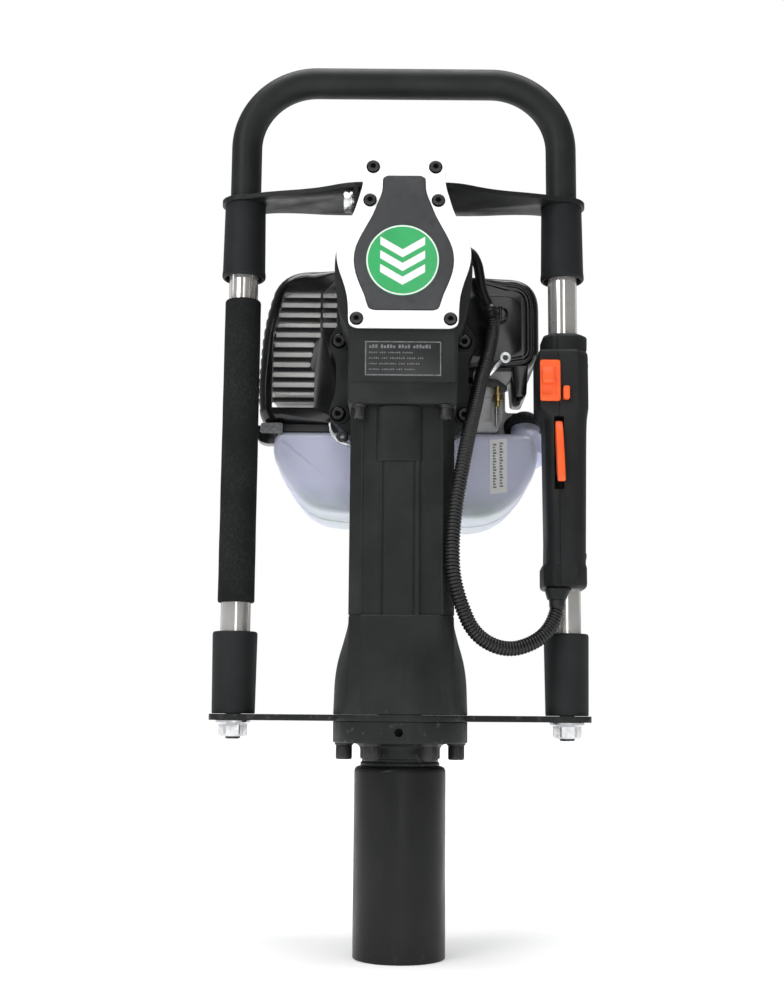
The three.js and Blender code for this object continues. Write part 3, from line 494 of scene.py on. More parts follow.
def spline(points, per=6):
    """A smooth open curve through points of any dimension."""
    points = [Vector(p) for p in points]
    last = len(points) - 1
    result = []
    for i in range(last):
        p0, p1, p2, p3 = (points[min(max(i + k, 0), last)] for k in (-1, 0, 1, 2))
        for s in range(per):
            t = s / per
            result.append(0.5 * (2 * p1 + (p2 - p0) * t + (2 * p0 - 5 * p1 + 4 * p2 - p3) * t * t
                                 + (3 * p1 - p0 - 3 * p2 + p3) * t ** 3))
    return [tuple(p) for p in result + [points[-1]]]


def mirrored(right):
    """A closed outline from its right side, given from the bottom up."""
    return list(right) + [(-a, b) for a, b in reversed(right)]


def inset(outline, by):
    """The outline moved inwards by a distance; by may be a function of the point."""
    count = len(outline)
    area = sum(outline[i][0] * outline[(i + 1) % count][1] - outline[(i + 1) % count][0] * outline[i][1]
               for i in range(count))
    side = 1 if area > 0 else -1
    result = []
    for i, point in enumerate(outline):
        before, after = Vector(outline[i - 1]), Vector(outline[(i + 1) % count])
        edge = after - before
        if edge.length < 1e-9:
            result.append(point)
            continue
        normal = Vector((-edge.y, edge.x)).normalized() * side
        amount = by(point) if callable(by) else by
        result.append((point[0] + normal.x * amount, point[1] + normal.y * amount))
    return result


def sweep(name, route, radius, sides=24, bore=None):
    """A round tube along points; radius is a number or a function of the share of the length."""
    route = [Vector(p) for p in route]
    lengths = [0.0]
    for a, b in zip(route, route[1:]):
        lengths.append(lengths[-1] + (b - a).length)
    normal = None
    outer, inner = [], []
    for i, point in enumerate(route):
        tangent = (route[min(i + 1, len(route) - 1)] - route[max(i - 1, 0)]).normalized()
        if normal is None:
            normal = tangent.orthogonal().normalized()
        normal = (normal - tangent * normal.dot(tangent)).normalized()
        other = tangent.cross(normal)
        share = lengths[i] / lengths[-1]
        r = radius(share) if callable(radius) else radius
        turn = [2 * math.pi * j / sides for j in range(sides)]
        outer.append([tuple(point + (normal * math.cos(t) + other * math.sin(t)) * r) for t in turn])
        if bore:
            inner.append([tuple(point + (normal * math.cos(t) + other * math.sin(t)) * bore) for t in turn])
    if bore:
        return loft(name, outer + inner[::-1], loop=True)
    return loft(name, outer)


def settle(piece):
    """Applies the piece's modifiers."""
    depsgraph = bpy.context.evaluated_depsgraph_get()
    mesh = bpy.data.meshes.new_from_object(piece.evaluated_get(depsgraph))
    piece.modifiers.clear()
    old, piece.data = piece.data, mesh
    bpy.data.meshes.remove(old)
    return piece


def boolean(piece, kind, tools):
    for tool in tools:
        step = piece.modifiers.new("solid", "BOOLEAN")
        step.operation, step.solver, step.object = kind, "EXACT", tool
    settle(piece)
    for tool in tools:
        bpy.data.objects.remove(tool)
    return piece


def cut(piece, *tools):
    return boolean(piece, "DIFFERENCE", tools)


def unite(piece, *tools):
    return boolean(piece, "UNION", tools)


def gather(piece, *others):
    """Puts separate closed bodies into one piece."""
    work = bmesh.new()
    work.from_mesh(piece.data)
    for other in others:
        work.from_mesh(other.data)
        bpy.data.objects.remove(other)
    work.to_mesh(piece.data)
    work.free()
    return piece


def tidy(piece, angle=0.8):
    work = bmesh.new()
    work.from_mesh(piece.data)
    bmesh.ops.remove_doubles(work, verts=work.verts, dist=2e-6)
    bmesh.ops.dissolve_limit(work, angle_limit=math.radians(angle), verts=work.verts, edges=work.edges)
    work.to_mesh(piece.data)
    work.free()
    return piece


def soften(piece, width, segments=3, angle=32):
    """Rounds the edges that are sharper than an angle."""
    tidy(piece)
    step = piece.modifiers.new("edges", "BEVEL")
    step.width, step.segments = width / 1000, segments
    step.limit_method, step.angle_limit = "ANGLE", math.radians(angle)
    step.use_clamp_overlap = True
    step.miter_outer = "MITER_ARC"
    return settle(piece)


def smooth(piece, angle=34):
    work = bmesh.new()
    work.from_mesh(piece.data)
    for face in work.faces:
        face.smooth = True
    for edge in work.edges:
        edge.smooth = not (len(edge.link_faces) == 2 and edge.calc_face_angle(0) > math.radians(angle))
    work.to_mesh(piece.data)
    work.free()


def turned(piece, pivot, axis, degrees):
    """Turns a piece's mesh about a point."""
    centre = Matrix.Translation(at(*pivot))
    piece.data.transform(centre @ Matrix.Rotation(math.radians(degrees), 4, axis) @ centre.inverted())
    return piece


def twin(piece, name):
    copy = piece.copy()
    copy.data = piece.data.copy()
    copy.name = name
    bpy.context.scene.collection.objects.link(copy)
    return copy


def dress(piece, look, angle=34):
    piece.data.materials.clear()
    piece.data.materials.append(looks[look].material)
    smooth(piece, angle)
    return piece


def fit(piece, body, look, *nodes, angle=34):
    """Gives a piece its look and its body, and the CAD nodes that it stands for."""
    dress(piece, look, angle)
    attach(piece, body)
    if nodes:
        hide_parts(*nodes)
    return piece


def hexagon(radius, angle):
    """Radius of a hexagon, across corners twice radius, at an angle."""
    return radius * math.cos(math.pi / 6) / math.cos((angle % (math.pi / 3)) - math.pi / 6)


def screw(name, place, axis, way, radius, height, socket, knurls=0, edge=0.6, depth=None, sides=72):
    """A socket-head screw: place is the middle of its bearing face, way is +1 or -1 along the axis."""
    depth = depth or height * 0.55
    x, y, z = place
    base, centre = {"x": (x, (y, z)), "y": (y, (x, z)), "z": (z, (x, y))}[axis]

    def grooved(t):
        return radius - (0.22 if knurls and math.cos(knurls * t) < 0 else 0)

    def key(t):
        return hexagon(socket, t)

    levels = [(radius - 0.3, 0), (grooved, 0.5), (grooved, height - edge), (radius - edge, height),
              (socket * 1.12, height), (key, height - 0.5), (key, height - depth),
              (0.05, height - depth - 0.8)]
    return loft(name, [circle(centre, r, base + way * h, axis, sides) for r, h in levels])


def nut(name, centre, low, high, radius, bore, flange, flange_height):
    """A hexagon nut on Z with chamfered corners and, at its top, a flange."""
    def six(limit):
        return lambda t: min(hexagon(radius, t), limit)

    flat = radius * math.cos(math.pi / 6)
    levels = [(bore, low + 1.2), (bore + 1.2, low), (six(flat - 0.3), low), (six(radius - 0.2), low + 1.4),
              (six(radius - 0.2), high - flange_height - 1.5), (flange - 0.8, high - flange_height),
              (flange, high - flange_height + 0.5), (flange, high - 0.3), (flange - 0.6, high), (bore, high)]
    return loft(name, [circle(centre, r, h) for r, h in levels], loop=True)


make_camera()
make_world()
make_stage()
looks = make_looks()


# ---------------------------------------------------------------- the loom, the object's one free cord
# Its centreline from the grip's gland to the engine's cover.
LOOM = [(126.7, -2, 281.2), (126.2, -2.5, 272), (121, -6, 260), (113, -11, 251), (102, -16, 244.5),
        (89.5, -21, 241), (76.5, -26.5, 242), (64, -31.5, 248), (54.9, -35.5, 257.5), (48.8, -39, 270),
        (44, -42, 283.5), (40.6, -43.5, 300), (40, -44, 322), (41.8, -44, 346), (44.4, -43, 364),
        (47.6, -41, 382), (51.4, -36.5, 402), (55.6, -29, 422), (60.4, -17, 443), (65.1, -2, 464),
        (70.6, 12, 483), (75, 24, 501), (77.8, 32, 520), (75.5, 34, 536), (69.6, 35, 552), (67, 36, 567),
        (65, 37, 578), (60, 39, 588), (51, 42.5, 593), (42, 47, 592), (35, 51.5, 588), (30.4, 55.5, 585.2),
        (29.5, 59, 584.5), (29.5, 61.4, 584.5)]


def even_route(points, step):
    """The smooth curve through the points, in equal steps."""
    fine = [Vector(p) for p in spline(points, 24)]
    result, left = [fine[0]], step
    for a, b in zip(fine, fine[1:]):
        run = (b - a).length
        done = 0.0
        while run - done >= left:
            done += left
            result.append(a.lerp(b, done / run))
            left = step
        left -= run - done
    if (result[-1] - fine[-1]).length > step * 0.3:
        result.append(fine[-1])
    else:
        result[-1] = fine[-1]
    return result


def make_loom():
    step = 0.7
    route = even_route(LOOM, step)
    length = step * (len(route) - 1)
    pitch = 2.8
    corrugated, cuff = 404.0, 413.0

    def radius(share):
        s = share * length
        if s < 6:
            return 6.3
        if s < corrugated:
            return 4.6 + 1.5 * abs(math.sin(math.pi * s / pitch)) ** 0.6
        if s < cuff:
            return 6.5 if abs(s - cuff + 3) > 0.8 else 6.0
        return 4.3 if s > cuff + 3 else 6.2 - 1.9 * (s - cuff) / 3

    loom = sweep("loom", route, radius, 22)
    dress(loom, "hose", 50)
    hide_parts("throttle_loom")
    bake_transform(loom)


make_loom()


# ---------------------------------------------------------------- nose: sleeve, flange, bolts
def make_nose():
    sleeve = lathe("sleeve_tube", [(33, 0, 1.2), (36.5, 0, 1.4), (36.5, 148, 5), (22, 148, 1), (22, 143, 1),
                                   (33, 143, 3)], hollow=True, sides=128)
    fit(sleeve, "driver", "sleeve", "post_sleeve")

    collar = lathe("nose_collar", [(19, 148), (31.6, 148, 0.6), (31.6, 150.6, 0.5), (30.4, 151.4, 0.5),
                                   (30.4, 153.2, 0.5), (32, 154, 0.6), (32, 166, 9), (54, 166, 1.6),
                                   (54, 183, 1.2), (19, 183)], hollow=True, sides=128)
    cut(collar, rod("oil_hole", "y", 3.25, -60, -38, (-1.5, 174.5), 40))
    fit(collar, "driver", "cast_paint", "nose_flange")

    for i in range(6):
        angle = math.radians(60 * i)
        x, y = 45 * math.cos(angle), 45 * math.sin(angle)
        bolt = screw(f"flange_screw_{i + 1}", (x, y, 165.9), "z", -1, 6.5, 13, 3.4, knurls=24, edge=0.8)
        washer = lathe(f"washer_{i}", [(4, 164.2), (7.5, 164.2, 0.5), (7.5, 166), (4, 166)], (x, y),
                       hollow=True)
        fit(gather(bolt, washer), "driver", "oxide", f"flange_bolt_{i + 1}")


def section(x, front, back, chamfer):
    return rounded([(-x, -front + chamfer, 2.4), (-x + chamfer, -front, 2.4), (x - chamfer, -front, 2.4),
                    (x, -front + chamfer, 2.4), (x, back, 3), (-x, back, 3)], 5)


def reach(outline, angle):
    """How far an outline is from its centre in a direction."""
    direction = Vector((math.cos(angle), math.sin(angle)))
    best = 0.0
    for i, point in enumerate(outline):
        a, b = Vector(point), Vector(outline[(i + 1) % len(outline)])
        edge = b - a
        cross = direction.x * edge.y - direction.y * edge.x
        if abs(cross) < 1e-9:
            continue
        t = (a.x * edge.y - a.y * edge.x) / cross
        u = (a.x * direction.y - a.y * direction.x) / cross
        if t > 0 and -1e-6 <= u <= 1 + 1e-6:
            best = max(best, t)
    return best


def make_barrel():
    inner = section(41.5, 41.5, 28, 9.5)
    outer = section(41.7, 44.6, 29.5, 10.5)
    angles = sorted({round(math.atan2(b, a) % (2 * math.pi), 3) for a, b in inner}
                    | {round(2 * math.pi * i / 120, 3) for i in range(120)})
    bell = spline([(54, 188), (53.6, 203), (52.9, 216), (51.4, 227), (49.3, 236), (46.9, 244), (44.7, 252),
                   (42.8, 259), (41.8, 264.5)], 4)
    rings = [[(53.2 * math.cos(t), 53.2 * math.sin(t), 188.05) for t in angles]]
    for radius, height in bell:
        share = min(max((radius - 41.7) / (54 - 41.7), 0), 1)
        ring = []
        for t in angles:
            r = reach(outer, t) * (1 - share) + 54 * share
            ring.append((r * math.cos(t), r * math.sin(t), height + (0.6 if height < 189 else 0)))
        rings.append(ring)
    for scale, height in ((0.985, 265.4), (1.0, 265.8), (1.0, 433)):
        source = inner if scale == 1.0 else outer
        rings.append([(reach(source, t) * scale * math.cos(t), reach(source, t) * scale * math.sin(t),
                       height) for t in angles])
    barrel = loft("barrel_casting", rings)
    pad = prism("pad", [(-17.9, -36), (-17.9, -42.6, 0.8), (-16, -42.6, 0.6), (-15.2, -41.9, 0.4),
                        (-14, -43.4, 0.8), (8.6, -43.4, 0.6), (9.6, -42.7, 0.4), (10.8, -44.4, 0.8),
                        (14.2, -44.4, 0.9), (15, -36)], "z", 264.8, 400, 3)
    strips = [prism(f"strip_{s}", [(s * 41.9, -31.6), (s * 32.6, -41.9, 0.8), (s * 30.6, -41.9, 0.8),
                                   (s * 30.2, -36), (s * 38, -30)], "z", 266.1, 432.9, 3) for s in (-1, 1)]
    arch = [math.pi * i / 28 for i in range(29)]
    dome = [(19 * math.cos(t) - 2.4, -39 - 8.5 * math.sin(t) ** 0.8) for t in arch]
    boss = soften(prism("boss", dome + [(-21.4, -30), (16.6, -30)], "z", 387.5, 432.9), 1.4, 4, 40)
    unite(barrel, pad, boss, *strips)
    cut(barrel, rod("bore", "z", 22.7, 180, 440, sides=64))
    fit(soften(barrel, 0.5, 2, 34), "driver", "cast_paint", "barrel_housing")


# ---------------------------------------------------------------- gear housing, cover, badge and plate
COVER = [(36.6, 492.9), (40.6, 494), (43.4, 496.4), (44.2, 501), (44.4, 508), (45.4, 519), (48.2, 530),
         (52.3, 542), (54, 551), (53.6, 560), (50.6, 569.5), (45.4, 579.5), (40.6, 589), (37, 600),
         (34.2, 610), (33.2, 618), (33, 630), (31.4, 635), (27, 637)]
HOUSING_FRONT, COVER_FACE, INLAY_FACE = -55, -60, -61.4


def outline_from(right, per=5):
    return mirrored(spline(right, per))


def make_housing():
    head = prism("gear_casting", inset(outline_from(COVER), 0.5), "y", HOUSING_FRONT, 28)
    wide = prism("wide", mirrored(spline([(44.4, 494), (47.4, 500), (50.6, 508), (53.6, 520), (55.3, 534),
            (55.9, 548), (54.6, 560), (50, 570), (44, 581)], 4)), "y", -47, 27.5)
    base = soften(block("base", -44, 44, -50, 28, 433, 501), 3.2, 4, 40)
    unite(head, wide, base)
    room = prism("room", [(37, 459, 8), (38, 500), (46, 541), (46, 556), (34, 590), (26, 616), (20, 629, 6),
                          (-20, 629, 6), (-26, 616), (-34, 590), (-46, 556), (-46, 541), (-38, 500),
                          (-37, 459, 8)], "y", -42, 22)
    crank_hole = rod("crank_hole", "y", 10.5, 21, 29, (0, CRANK))
    drum_hole = rod("drum_hole", "y", 8.6, 21, 29, SHAFT)
    lay_hole = rod("lay_hole", "y", 5.4, 21, 29, (10.57, 504.3))
    front_room = prism("front_room", mirrored([(28, 506), (34, 514), (43, 540), (43, 556), (30, 588),
            (24, 614), (20, 627)]), "y", -56, -41)
    cut(head, block("front_step", -60, 60, -52, -49.1, 430, 451), room, front_room,
        rod("rod_well", "z", 22.7, 430, 470, sides=64), crank_hole, drum_hole, lay_hole)
    fit(soften(head, 0.9, 3, 36), "driver", "paint", "gear_housing")

    plate = soften(prism("cover_plate", outline_from(COVER), "y", COVER_FACE, HOUSING_FRONT), 1.3, 4, 40)
    fit(plate, "driver", "white", "front_cover")
    right = spline([(23, 507.6), (27, 509), (28.8, 513), (31, 520), (35, 529.5), (38.2, 539), (39.4, 548.5),
                    (38.2, 558), (34.6, 567), (29.6, 576.5), (24.6, 586), (20.6, 596), (17.9, 603),
                    (16.8, 608), (16.6, 613), (16.2, 616.8), (13, 618.6)], 5)
    inlay = soften(prism("inlay_plate", mirrored(right), "y", INLAY_FACE, COVER_FACE - 0.1), 0.5, 3, 40)
    fit(inlay, "driver", "inlay", "cover_inlay")
    # Painted shadow: a thin black ring round the inlay stands for the shade in the gap between inlay and
    # cover.
    rim = prism("inlay_shadow_line", inset(mirrored(right), -0.8), "y", COVER_FACE - 0.5, COVER_FACE + 0.1)
    fit(cut(rim, prism("shadow_line_room", inset(mirrored(right), 2.0), "y", -62, -58)), "driver", "label")

    for i, (x, z) in enumerate([(25.3, 627.0), (27.6, 598.7), (37.5, 500.0)]):
        for s, side in SIDES:
            fit(screw(f"cover_screw_{side}_{i + 1}", (s * x, COVER_FACE + 0.2, z), "y", -1, 4.5, 3.4, 2.4,
                      edge=0.6, depth=2.4), "driver", "oxide")
            # Painted shadow: a black ring round each screw head and a black disc down in its socket stand for
            # the shade there.
            shadow_ring = lathe(f"screw_painted_shadow_{side}_{i + 1}", [(4.0, -60.15), (5.5, -60.15), (5.5, -59.8),
                    (4.0, -59.8)], (s * x, z), "y", 48, hollow=True)
            fit(gather(shadow_ring, rod("socket", "y", 1.95, -62.1, -61.3, (s * x, z), 6)), "driver", "painted_shadow")


def make_badge():
    """A plain badge: three chevrons pointing down, in a ring."""
    x, z, radius = -1.0, 548.0, 29.4
    face = INLAY_FACE - 0.5
    disc = lathe("badge_disc", [(0, INLAY_FACE + 0.1), (radius, INLAY_FACE + 0.1), (radius, face, 0.3),
                                (0, face)], (x, z), "y", 128, steps=4)
    fit(disc, "driver", "green")
    low, high = face - 0.14, face + 0.05
    marks = [lathe("badge_ring", [(27.9, low, 0.06), (29.0, low, 0.06), (29.0, high), (27.9, high)], (x, z),
                   "y", 128, hollow=True, steps=2)]
    for i in range(3):
        top = z + 19.5 - 11.4 * i
        marks.append(prism(f"chevron_{i + 1}", [(x - 18, top - 6.8, 0.6), (x, top - 17.4),
                (x + 18, top - 6.8, 0.6), (x + 18, top, 0.6), (x, top - 10.6), (x - 18, top, 0.6)], "y", low,
                           high, 3))
    fit(gather(*marks), "driver", "print")


def make_plate():
    """A rating plate with a drawn frame and plain bars where its wording would be."""
    face = -50.0
    plate = soften(block("rating_plate", -31, 31, face - 0.35, face + 0.4, 455.3, 484.7), 0.15, 2, 40)
    fit(plate, "driver", "label")
    low, high = face - 0.45, face - 0.3
    edges = {"low": (-30.4, 30.4, 456, 456.8), "high": (-30.4, 30.4, 483.2, 484),
             "left": (-30.4, -29.6, 456.8, 483.2), "right": (29.6, 30.4, 456.8, 483.2)}
    lines = [block(f"frame_{side}", x0, x1, low, high, z0, z1) for side, (x0, x1, z0, z1) in edges.items()]
    fit(gather(*lines), "driver", "faded")
    strokes = []

    def row(words, level, height, pitch, width):
        """Short strokes in groups, as a row of small print looks from a distance."""
        x = -27.2
        for count in words:
            for k in range(count):
                tall = height if (k + count) % 3 else height * 0.7
                strokes.append(block("stroke", x, x + width, low, high, level, level + tall))
                x += pitch
            x += pitch * 0.8

    row((3, 5, 4, 6), 478.4, 2.9, 2.45, 1.75)
    for k, words in enumerate([(4, 3, 6, 5), (5, 3, 7, 4, 3), (4, 8, 3, 6), (5, 6, 3, 5)]):
        row(words, 474.2 - 4.6 * k, 1.2, 1.75, 0.95)
    rows = gather(*strokes)
    rows.name = "plate_rows"
    fit(rows, "driver", "faded")


def make_clamp():
    """The engine's flange, with an ear for a screw at each corner, and the cap screws under the housing."""
    side = [(14, 410), (30, 414.5), (44, 422), (54, 430.6), (60.6, 437), (62.2, 443), (60.4, 450.6),
            (57.4, 460), (56.6, 476), (57.6, 490), (61, 498), (62.4, 505), (60.4, 512), (54, 522), (42, 530),
            (14, 531)]
    flange = prism("clutch_casting", outline_from(side, 4), "y", 28.3, 52)
    cut(flange, rod("room", "y", 47, 33.3, 53, SHAFT, 96), rod("hole", "y", 9, 27, 34, SHAFT),
        rod("lay_end", "y", 6, 27, 32.3, (10.57, 504.3)), block("crank_end", -12, 12, 27, 31.3, 530, 534))
    bosses = [rod(f"boss_{a}_{b}", "y", 8.6, 26.8, 30, (a * 53, b), 48, 0.8) for a in (-1, 1)
              for b in (441, 505)]
    unite(flange, *bosses)
    fit(soften(flange, 1.1, 3, 36), "driver", "paint", "clutch_housing")
    for s, side in SIDES:
        for i, z in enumerate((441, 505)):
            place = (53 if s > 0 else -54.5, z)
            # Painted shadow: a black ring round each ear screw's head and a black disc down in its socket
            # stand for the shade there.
            shadow_ring = lathe(f"ear_painted_shadow_{side}_{i + 1}", [(4.6, 26.6), (6.8, 26.6), (6.8, 27), (4.6, 27)], place,
                        "y", 48, hollow=True)
            fit(gather(shadow_ring, rod("socket", "y", 2.2, 24.0, 25.0, place, 6)), "driver", "painted_shadow")
            fit(screw(f"ear_screw_{side}_{i + 1}", (place[0], 27.0, z), "y", -1, 5.4, 4.2, 2.7, knurls=22,
                      edge=0.8), "driver", "oxide")
        under = screw(f"block_screw_{side}", (s * 34.5, -44.6, 431), "z", -1, 4.4, 9.2, 2.4, knurls=20,
                      edge=0.7)
        washer = lathe(f"block_washer_{side}", [(2.6, 430.8), (5.2, 430.8, 0.5), (5.2, 433), (2.6, 433)],
                       (s * 34.5, -44.6), hollow=True)
        fit(gather(under, washer), "driver", "oxide")


make_nose()
make_barrel()
make_housing()
make_badge()
make_plate()
make_clamp()


# ---------------------------------------------------------------- brackets, sleeves, studs, springs
def make_brackets():
    edge = spline([(37, -30), (46, -28.4), (54, -25.4), (63, -21), (74, -16.4), (88, -12.4), (104, -9),
                   (120, -5), (132, -0.6)], 4)
    angles = [math.pi * (i / 14 - 0.5) for i in range(15)]
    nose = [(TUBE_X + 20 * math.cos(t), TUBE_Y + 20 * math.sin(t)) for t in angles]
    back = spline([(128, 38.6), (112, 34.5), (92, 34.5), (72, 37), (56, 38)], 4)
    plate = prism("handle_bracket", mirrored(edge + nose + back), "z", 622, 626)
    tab = prism("tab", [(-30, 604, 6), (-12, 604, 6), (-12, 625.9), (-30, 625.9)], "x", -41.4, -38.2)
    unite(plate, tab)
    hub = prism("hub_room", inset(outline_from(COVER), 0.2), "y", -80, 28.3)
    holes = [rod(f"leg_hole_{s}", "z", 13.6, 620, 628, (s * TUBE_X, TUBE_Y)) for s in (-1, 1)]
    cut(plate, hub, rod("eye", "x", 4.4, -60, -30, (-21, 612)), *holes)
    fit(soften(plate, 0.9, 3, 36), "driver", "black_steel", "upper_bracket")

    arm = rounded([(TUBE_X - 34, TUBE_Y - 17), (TUBE_X, TUBE_Y - 19.3, 8),
                   (TUBE_X + 19.3, TUBE_Y - 19.3, 17), (TUBE_X + 19.3, TUBE_Y + 19.3, 17),
                   (TUBE_X, TUBE_Y + 19.3, 8), (TUBE_X - 34, TUBE_Y + 14), (60, 30)])
    lower = prism("foot_bracket", mirrored(arm) + [(-60, -14), (60, -14)], "z", 183, 188)
    unite(lower, rod("disc", "z", 54.2, 183, 188, sides=128))
    holes = [rod(f"stud_hole_{s}", "z", 6.5, 182, 190, (s * TUBE_X, TUBE_Y)) for s in (-1, 1)]
    cut(lower, rod("middle", "z", 22.7, 182, 190, sides=64), *holes)
    fit(soften(lower, 0.8, 3, 36), "driver", "cast_paint", "lower_bracket")

    def six(limit):
        return lambda t: min(hexagon(9.4, t), limit)

    levels = [(4, -38.5), (4, -43), (9.6, -43), (9.6, -44.6), (4.6, -44.6), (six(8.6), -44.6),
              (six(9.4), -45.4), (six(9.4), -49.2), (six(8.0), -50), (six(7.2), -49.6)]
    fit(loft("bracket_bolt_zinc", [circle((-21, 612), r, x, "x") for r, x in levels]), "driver", "zinc",
        "bracket_bolt")


def make_spring(name, x, low, high, radius, wire, turns=4, per=30):
    points = []
    for i in range(turns * per + 1):
        angle = 2 * math.pi * i / per
        rise = low + wire + (high - low - 2 * wire) * i / (turns * per)
        points.append((x + radius * math.cos(angle), TUBE_Y + radius * math.sin(angle), rise))
    return sweep(name, points, wire, 10)


def make_mounts():
    for s, side in SIDES:
        x = s * TUBE_X
        centre = (x, TUBE_Y)
        upper = lathe(f"upper_bush_{side}", [(15.9, 557, 0.6), (17.2, 556.5, 0.6), (18.6, 558.2, 1),
                (18.5, 561.5, 1.5), (18.15, 563.5, 1), (17.4, 619, 1.5), (17.5, 622, 0.6), (15.9, 622)],
                      centre, hollow=True)
        fit(upper, "driver", "rubber", f"upper_sleeve_{side}")
        lower = lathe(f"lower_bush_{side}", [(15.6, 188.2), (17.6, 188.2, 0.8), (17.7, 191, 1),
                (18.5, 253.4, 1.6), (17.6, 255, 1), (15.6, 255, 0.8)], centre, hollow=True)
        fit(lower, "driver", "rubber", f"lower_sleeve_{side}")
        stud = lathe(f"stud_rod_{side}", [(0, 168), (6.2, 168, 1.2), (6.2, 250, 1.2), (0, 250)], centre,
                     sides=48, steps=4)
        fit(stud, "driver", "oxide", f"stud_{side}")
        flanged = nut(f"flange_nut_{side}", centre, 170, 183, 12, 6.6, 14.2, 2.2)
        fit(flanged, "driver", "zinc", f"stud_nut_{side}")
        for coil, spring, size, first, last, from_z, to_z in (("top_coil", "upper_spring",
                (584.3, 621.7, 14.9, 0.6), "handle", "driver", 585, 621), ("foot_coil", "lower_spring",
                (188.3, 217.7, 10, 1.4), "driver", "handle", 190, 216)):
            piece = make_spring(f"{coil}_{side}", x, *size)
            dress(piece, "bare")
            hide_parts(f"{spring}_{side}")
            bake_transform(piece)


# ---------------------------------------------------------------- bow handle
def bow(low, steps):
    """The tube's centreline: two legs and a crossbar with round corners."""
    bend, top = 61.0, 736.0
    points = [(-TUBE_X, TUBE_Y, low), (-TUBE_X, TUBE_Y, top - bend - 2)]
    for s in (-1, 1):
        for i in range(steps + 1):
            angle = math.pi / 2 * (i / steps if s < 0 else 1 - i / steps)
            x, z = TUBE_X - bend + bend * math.cos(angle), top - bend + bend * math.sin(angle)
            points.append((s * x, TUBE_Y, z))
    points += [(TUBE_X, TUBE_Y, top - bend - 2), (TUBE_X, TUBE_Y, low)]
    return points


def make_handle():
    chrome = sweep("chrome_bow", bow(218, 20), 12.3, 48, 10.3)
    collars = [lathe(f"collar_{s}", [(11.6, 580), (15.3, 580, 0.8), (15.3, 584, 0.8), (11.6, 584)],
                     (s * TUBE_X, TUBE_Y), hollow=True) for s in (-1, 1)]
    unite(chrome, *collars)
    fit(chrome, "handle", "chrome", "handle_tube")
    fit(sweep("painted_bow", bow(584.3, 28), 13.1, 64, 12.6), "handle", "paint", "handle_sheath")

    edge = rounded([(12.5, 279), (15.2, 279, 2.2), (15.2, 537, 2.2), (12.5, 537)], 5)[1:-1]
    levels = [(12.5, 279)]
    for (r0, h0), (r1, h1) in zip(edge, edge[1:]):
        parts = max(1, int(abs(h1 - h0) / 4))
        levels += [(r0 + (r1 - r0) * k / parts, h0 + (h1 - h0) * k / parts) for k in range(parts)]
    levels += [edge[-1], (12.5, 537)]

    def ring(r, h):
        def uneven(t):
            return r + 0.16 * noise.noise(Vector((math.cos(t) * 1.3, math.sin(t) * 1.3, h / 26)))

        return circle((-TUBE_X, TUBE_Y), uneven if r > 13 else r, h, sides=64)

    foam = loft("foam_grip", [ring(r, h) for r, h in levels], loop=True)
    dress(foam, "foam")
    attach(foam, "handle")
    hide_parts("left_grip_foam")


# ---------------------------------------------------------------- throttle grip
def grip_ring(z, x0, x1, y0, y1, corners):
    """A rectangle with its four corners rounded, from 0, a plain arc, to 1, a flat chamfer."""
    points = []
    places = [(x1, y0, 1, -1, -90), (x1, y1, 1, 1, 0), (x0, y1, -1, 1, 90), (x0, y0, -1, -1, 180)]
    for (x, y, sx, sy, start), (size, flat) in zip(places, corners):
        cx, cy = x - sx * size, y - sy * size
        a0 = math.radians(start)
        first = Vector((cx + size * math.cos(a0), cy + size * math.sin(a0)))
        last = Vector((cx + size * math.cos(a0 + math.pi / 2), cy + size * math.sin(a0 + math.pi / 2)))
        for k in range(9):
            t = k / 8
            a = a0 + math.pi / 2 * t
            arc = Vector((cx + size * math.cos(a), cy + size * math.sin(a)))
            p = arc.lerp(first.lerp(last, t), flat)
            points.append((p.x, p.y, z))
    return points


